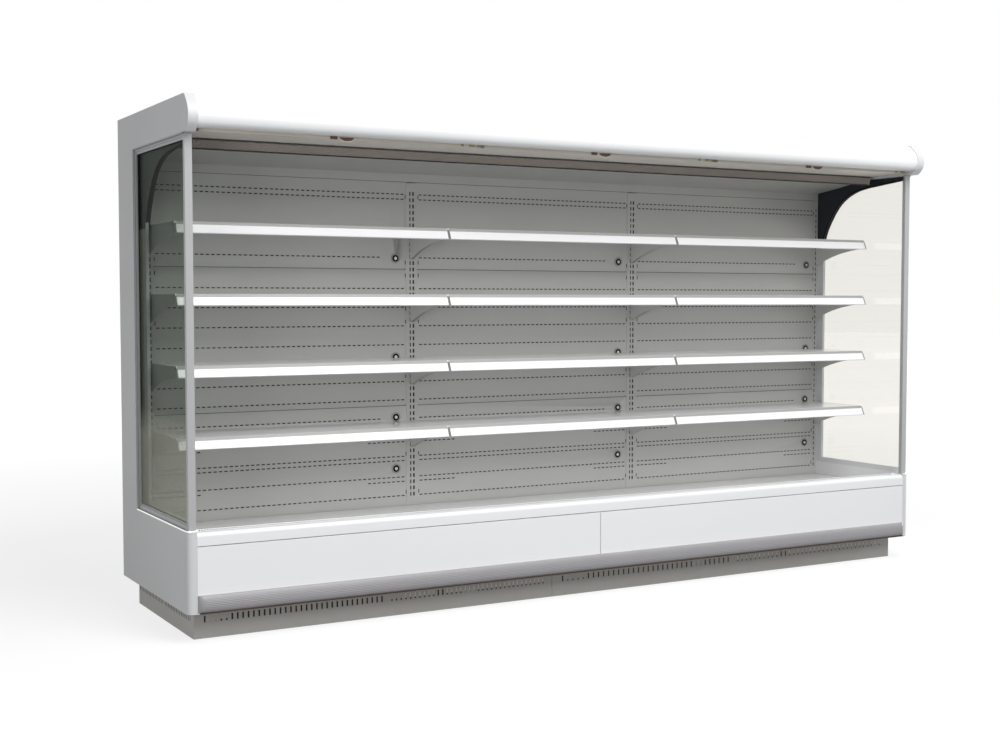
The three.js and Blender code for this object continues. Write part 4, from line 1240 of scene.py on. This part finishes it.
@dataclass
class Glazing:
    """What trims the end windows: beads, silicone, the fairing's film, flange and edging."""

    edging: float = 8 * MM
    corner_radius: float = 23 * MM
    film_low: float = 1.640  # where the fairing ends and the wall's lining begins to show
    pane_out: float = 1.8968  # outside face of the pane
    pane_front: float = -0.4015  # front edge of what shows of the pane
    pane_rear: float = 0.2615

    def build(self) -> None:
        """Makes the trims of both ends."""
        for side, sign in (("left", -1), ("right", 1)):
            fix(self._fairing_edge(side, sign), "cabinet")
            fix(self._fairing_flange(side, sign), "cabinet")
            fix(self._fairing_film(side, sign), "cabinet")
            fix(self._sill_bead(side, sign), "cabinet")
            fix(self._recess_bead(side, sign), "cabinet")
            fix(self._silicone(side, sign), "cabinet")
            fix(self._corner_clip(side, sign), "cabinet")

    def _sweep(self) -> list[Point2]:
        """Returns the fairing's lower edge, from the front post to its foot, as (y, z) points."""
        return [(self.pane_front, 1.9543), (-0.280, 1.9435), *curve_through(FAIRING_SWEEP, 40)]

    def _along_sweep(self, name: str, route: Sequence[Point2], section: Sequence[Point2]) -> Piece:
        """Sweeps a section of (x, height over the edge) points in metres along a part of the edge."""
        rings = []
        for i, (y, z) in enumerate(route):
            before, after = route[max(0, i - 1)], route[min(len(route) - 1, i + 1)]
            along = Vector((0, after[0] - before[0], after[1] - before[1])).normalized()
            rings.append([(x, y - along.z * rise, z + along.y * rise) for x, rise in section])
        return swept_along(name, rings, EDGING_AND_SEAM_SHADE)

    def _fairing_edge(self, side: str, sign: int) -> Piece:
        """Makes the rubber edging along the fairing's lower edge, on its inside face."""
        x = sign * (INNER - 3.8 * MM)
        inside = x - sign * 2.2 * MM
        top = self.edging
        section = ((x, -1 * MM), (x, top), (inside, top - 1 * MM), (inside, -1 * MM))
        return bevelled(self._along_sweep(f"fairing_edge_{side}", self._sweep(), section), 0.4 * MM)

    def _fairing_flange(self, side: str, sign: int) -> Piece:
        """Makes the black flange that joins the fairing's edge to the pane."""
        near, far = sign * (INNER + 0.2 * MM), sign * (INNER + 13.8 * MM)
        route = [point for point in self._sweep() if point[0] < 0.1785]
        section = ((near, 0.0), (near, 2 * MM), (far, 2 * MM), (far, 0.0))
        return self._along_sweep(f"fairing_flange_{side}", route, section)

    def _fairing_film(self, side: str, sign: int) -> Piece:
        """Makes the navy film that lies on the pane's inside over the fairing."""
        rear, head = 0.2794, 1.9788
        outline = [*self._sweep(), (rear, self.film_low), (rear, head), (self.pane_front, head)]
        x0, x1 = sorted((sign * (INNER + 14.06 * MM), sign * (INNER + 14.22 * MM)))
        return swept_along_x(f"fairing_film_{side}", outline, x0, x1, NAVY_ABS)

    def _sill_bead(self, side: str, sign: int) -> Piece:
        """Makes the bright bead on the sill, which turns round the front corner."""
        edge, radius = OUTER - 3 * MM, self.corner_radius
        turn = [math.radians(90 * i / 8) for i in range(9)]
        route = [(edge, 0.2785)]
        route += [(edge - radius + radius * math.cos(a), FRONT + 26 * MM - radius * math.sin(a)) for a in turn]
        route.append((INNER + 1 * MM, FRONT + 3 * MM))
        profile = ((-2.6, 0.2), (-2.6, 4.5), (-1.2, 6.0), (1.2, 6.0), (2.6, 4.5), (2.6, 0.2))
        sill = 0.4404
        rings = []
        for i, (x, y) in enumerate(route):
            before, after = route[max(0, i - 1)], route[min(len(route) - 1, i + 1)]
            along = Vector((after[0] - before[0], after[1] - before[1])).normalized()
            ring = [(x - along.y * u * MM, y + along.x * u * MM, sill + v * MM) for u, v in profile]
            rings.append([(sign * px, py, pz) for px, py, pz in ring])
        bead = swept_along(f"sill_bead_{side}", rings, BRIGHT_BEAD)
        smooth(bead.data, 50.0)
        return bead

    def _recess_bead(self, side: str, sign: int) -> Piece:
        """Makes the bead up the rear edge and along the head of the window recess."""
        x0, x1 = sorted((sign * (OUTER - 0.2 * MM), sign * (OUTER - 9.5 * MM)))
        rear = box_piece("bead", (x0, 0.2750, 0.4470), (x1, 0.2795, 1.9745), ANODISED)
        head = box_piece("bead", (x0, -0.4225, 1.9750), (x1, 0.2795, 1.9790), ANODISED)
        return joined(f"recess_bead_{side}", [bevelled(part, 1.2 * MM) for part in (rear, head)])

    def _silicone(self, side: str, sign: int) -> Piece:
        """Makes the seats of the glass: grey beads at head and foot and a beige joint at the rear."""
        x0, x1 = sorted((sign * self.pane_out, sign * (self.pane_out + 5 * MM)))
        parts = [
            box_piece("seat", (x0, self.pane_front, z0), (x1, self.pane_rear, z1), ANODISED)
            for z0, z1 in ((1.9550, 1.9662), (0.4638, 0.4700))
        ]
        thin = sorted((sign * (INNER + 14.05 * MM), sign * (INNER + 14.2 * MM)))
        rear = box_piece("joint", (thin[0], 0.2240, 0.4702), (thin[1], 0.2610, self.film_low), GLAZING_SILICONE)
        return joined(f"pane_seats_{side}", [*[bevelled(part, 1 * MM) for part in parts], rear])

    def _corner_clip(self, side: str, sign: int) -> Piece:
        """Makes the small white clip that closes the joint between end wall and bumper."""
        x0, x1 = sorted((sign * 1.8660, sign * 1.8745))
        low, high = (x0, -0.4375, 0.1165), (x1, -0.4225, 0.1225)
        return bevelled(box_piece(f"corner_clip_{side}", low, high, WHITE_NYLON), 1 * MM)


# ---- Studio ----


@dataclass
class Studio:
    """The pale floor, the soft lamps and the camera at the photograph's angle."""

    eye: tuple[float, float, float] = (-3.554, -5.7675, 1.3361)
    turn: float = 29.597
    dip: float = 2.983
    lens: float = 51.13

    def build(self) -> None:
        """Sets up the view, the floor and the light."""
        self._camera()
        self._floor()
        self._world()
        self._lamps()

    def _camera(self) -> None:
        """Places the camera."""
        data = bpy.data.cameras.new("camera")
        data.lens = self.lens
        data.sensor_width = 36
        data.clip_end = 100
        camera = bpy.data.objects.new("camera", data)
        camera.location = self.eye
        camera.rotation_euler = (math.radians(90 - self.dip), 0, math.radians(-self.turn))
        bpy.context.scene.collection.objects.link(camera)
        bpy.context.scene.camera = camera

    def _floor(self) -> None:
        """Makes a wide pale floor that shows white away from the shadow."""
        mesh = bpy.data.meshes.new("floor")
        reach = 40.0
        corners = ((-1, -1), (1, -1), (1, 1), (-1, 1))
        mesh.from_pydata([(reach * x, reach * y, 0) for x, y in corners], [], [(0, 1, 2, 3)])
        material = bpy.data.materials.new("pale_floor")
        tree = emptied(material)
        plain = add_node(tree, "ShaderNodeBsdfDiffuse", {"Color": linear("8E8E8E")})
        place = add_node(tree, "ShaderNodeTexCoord").outputs["Object"]
        away = add_node(tree, "ShaderNodeVectorMath", {0: place}, operation="LENGTH").outputs["Value"]
        fade = {"Value": away, "From Min": 3.0, "From Max": 9.0, "To Min": 0.78, "To Max": 1.0}
        level = add_node(tree, "ShaderNodeMapRange", fade)
        glow = add_node(tree, "ShaderNodeEmission", {"Color": (1, 1, 1, 1), "Strength": level.outputs[0]})
        both = add_node(tree, "ShaderNodeAddShader", {0: plain.outputs[0], 1: glow.outputs[0]})
        seen = seen_directly(tree)
        mixed = add_node(tree, "ShaderNodeMixShader", {0: seen, 1: plain.outputs[0], 2: both.outputs[0]})
        add_node(tree, "ShaderNodeOutputMaterial", {"Surface": mixed.outputs[0]})
        mesh.materials.append(material)
        floor = bpy.data.objects.new("floor", mesh)
        bpy.context.scene.collection.objects.link(floor)

    def _world(self) -> None:
        """Makes a soft sky: white where it is seen, and plain fill where it lights."""
        world = bpy.data.worlds.new("sky")
        tree = emptied(world)
        fill = add_node(tree, "ShaderNodeBackground", {"Color": (0.97, 0.98, 1.0, 1), "Strength": 0.2})
        white = add_node(tree, "ShaderNodeBackground", {"Color": (1, 1, 1, 1), "Strength": 1.0})
        seen = seen_directly(tree)
        mixed = add_node(tree, "ShaderNodeMixShader", {0: seen, 1: fill.outputs[0], 2: white.outputs[0]})
        add_node(tree, "ShaderNodeOutputWorld", {"Surface": mixed.outputs[0]})
        bpy.context.scene.world = world

    def _lamps(self) -> None:
        """Hangs a large soft lamp high in front of the case, and weaker ones above and beside it."""
        for name, at, aim, size, power in (
            ("front_softbox", (0.6, -5.8, 5.6), (0.1, -0.3, 0.8), 4.5, 340.0),
            ("top_softbox", (0.4, -2.7, 6.0), (0.2, -0.5, 0.8), 3.5, 140.0),
            ("left_softbox", (-5.8, -4.0, 1.3), (-1.9, 0.0, 0.4), 2.6, 78.0),
            ("right_softbox", (7.0, -1.1, 1.3), (1.2, 0.15, 0.7), 2.0, 110.0),
        ):
            data = bpy.data.lights.new(name, "AREA")
            data.shape = "SQUARE"
            data.size = size
            data.energy = power
            lamp = bpy.data.objects.new(name, data)
            lamp.location = at
            lamp.rotation_euler = (Vector(aim) - Vector(at)).to_track_quat("-Z", "Y").to_euler()
            bpy.context.scene.collection.objects.link(lamp)


def main() -> None:
    """Builds the studio and dresses every sub-assembly."""
    logging.basicConfig(level=logging.INFO, format="%(message)s")
    bpy.context.scene.view_settings.view_transform = "Standard"
    Studio().build()
    for kind in (Cabinet, Glazing, Lining, Shelving, AirOutlet, ReturnGrille, Plinth, NightBlinds):
        kind().build()
        LOG.info("%s done", kind.__name__)


if __name__ == "__main__":
    main()
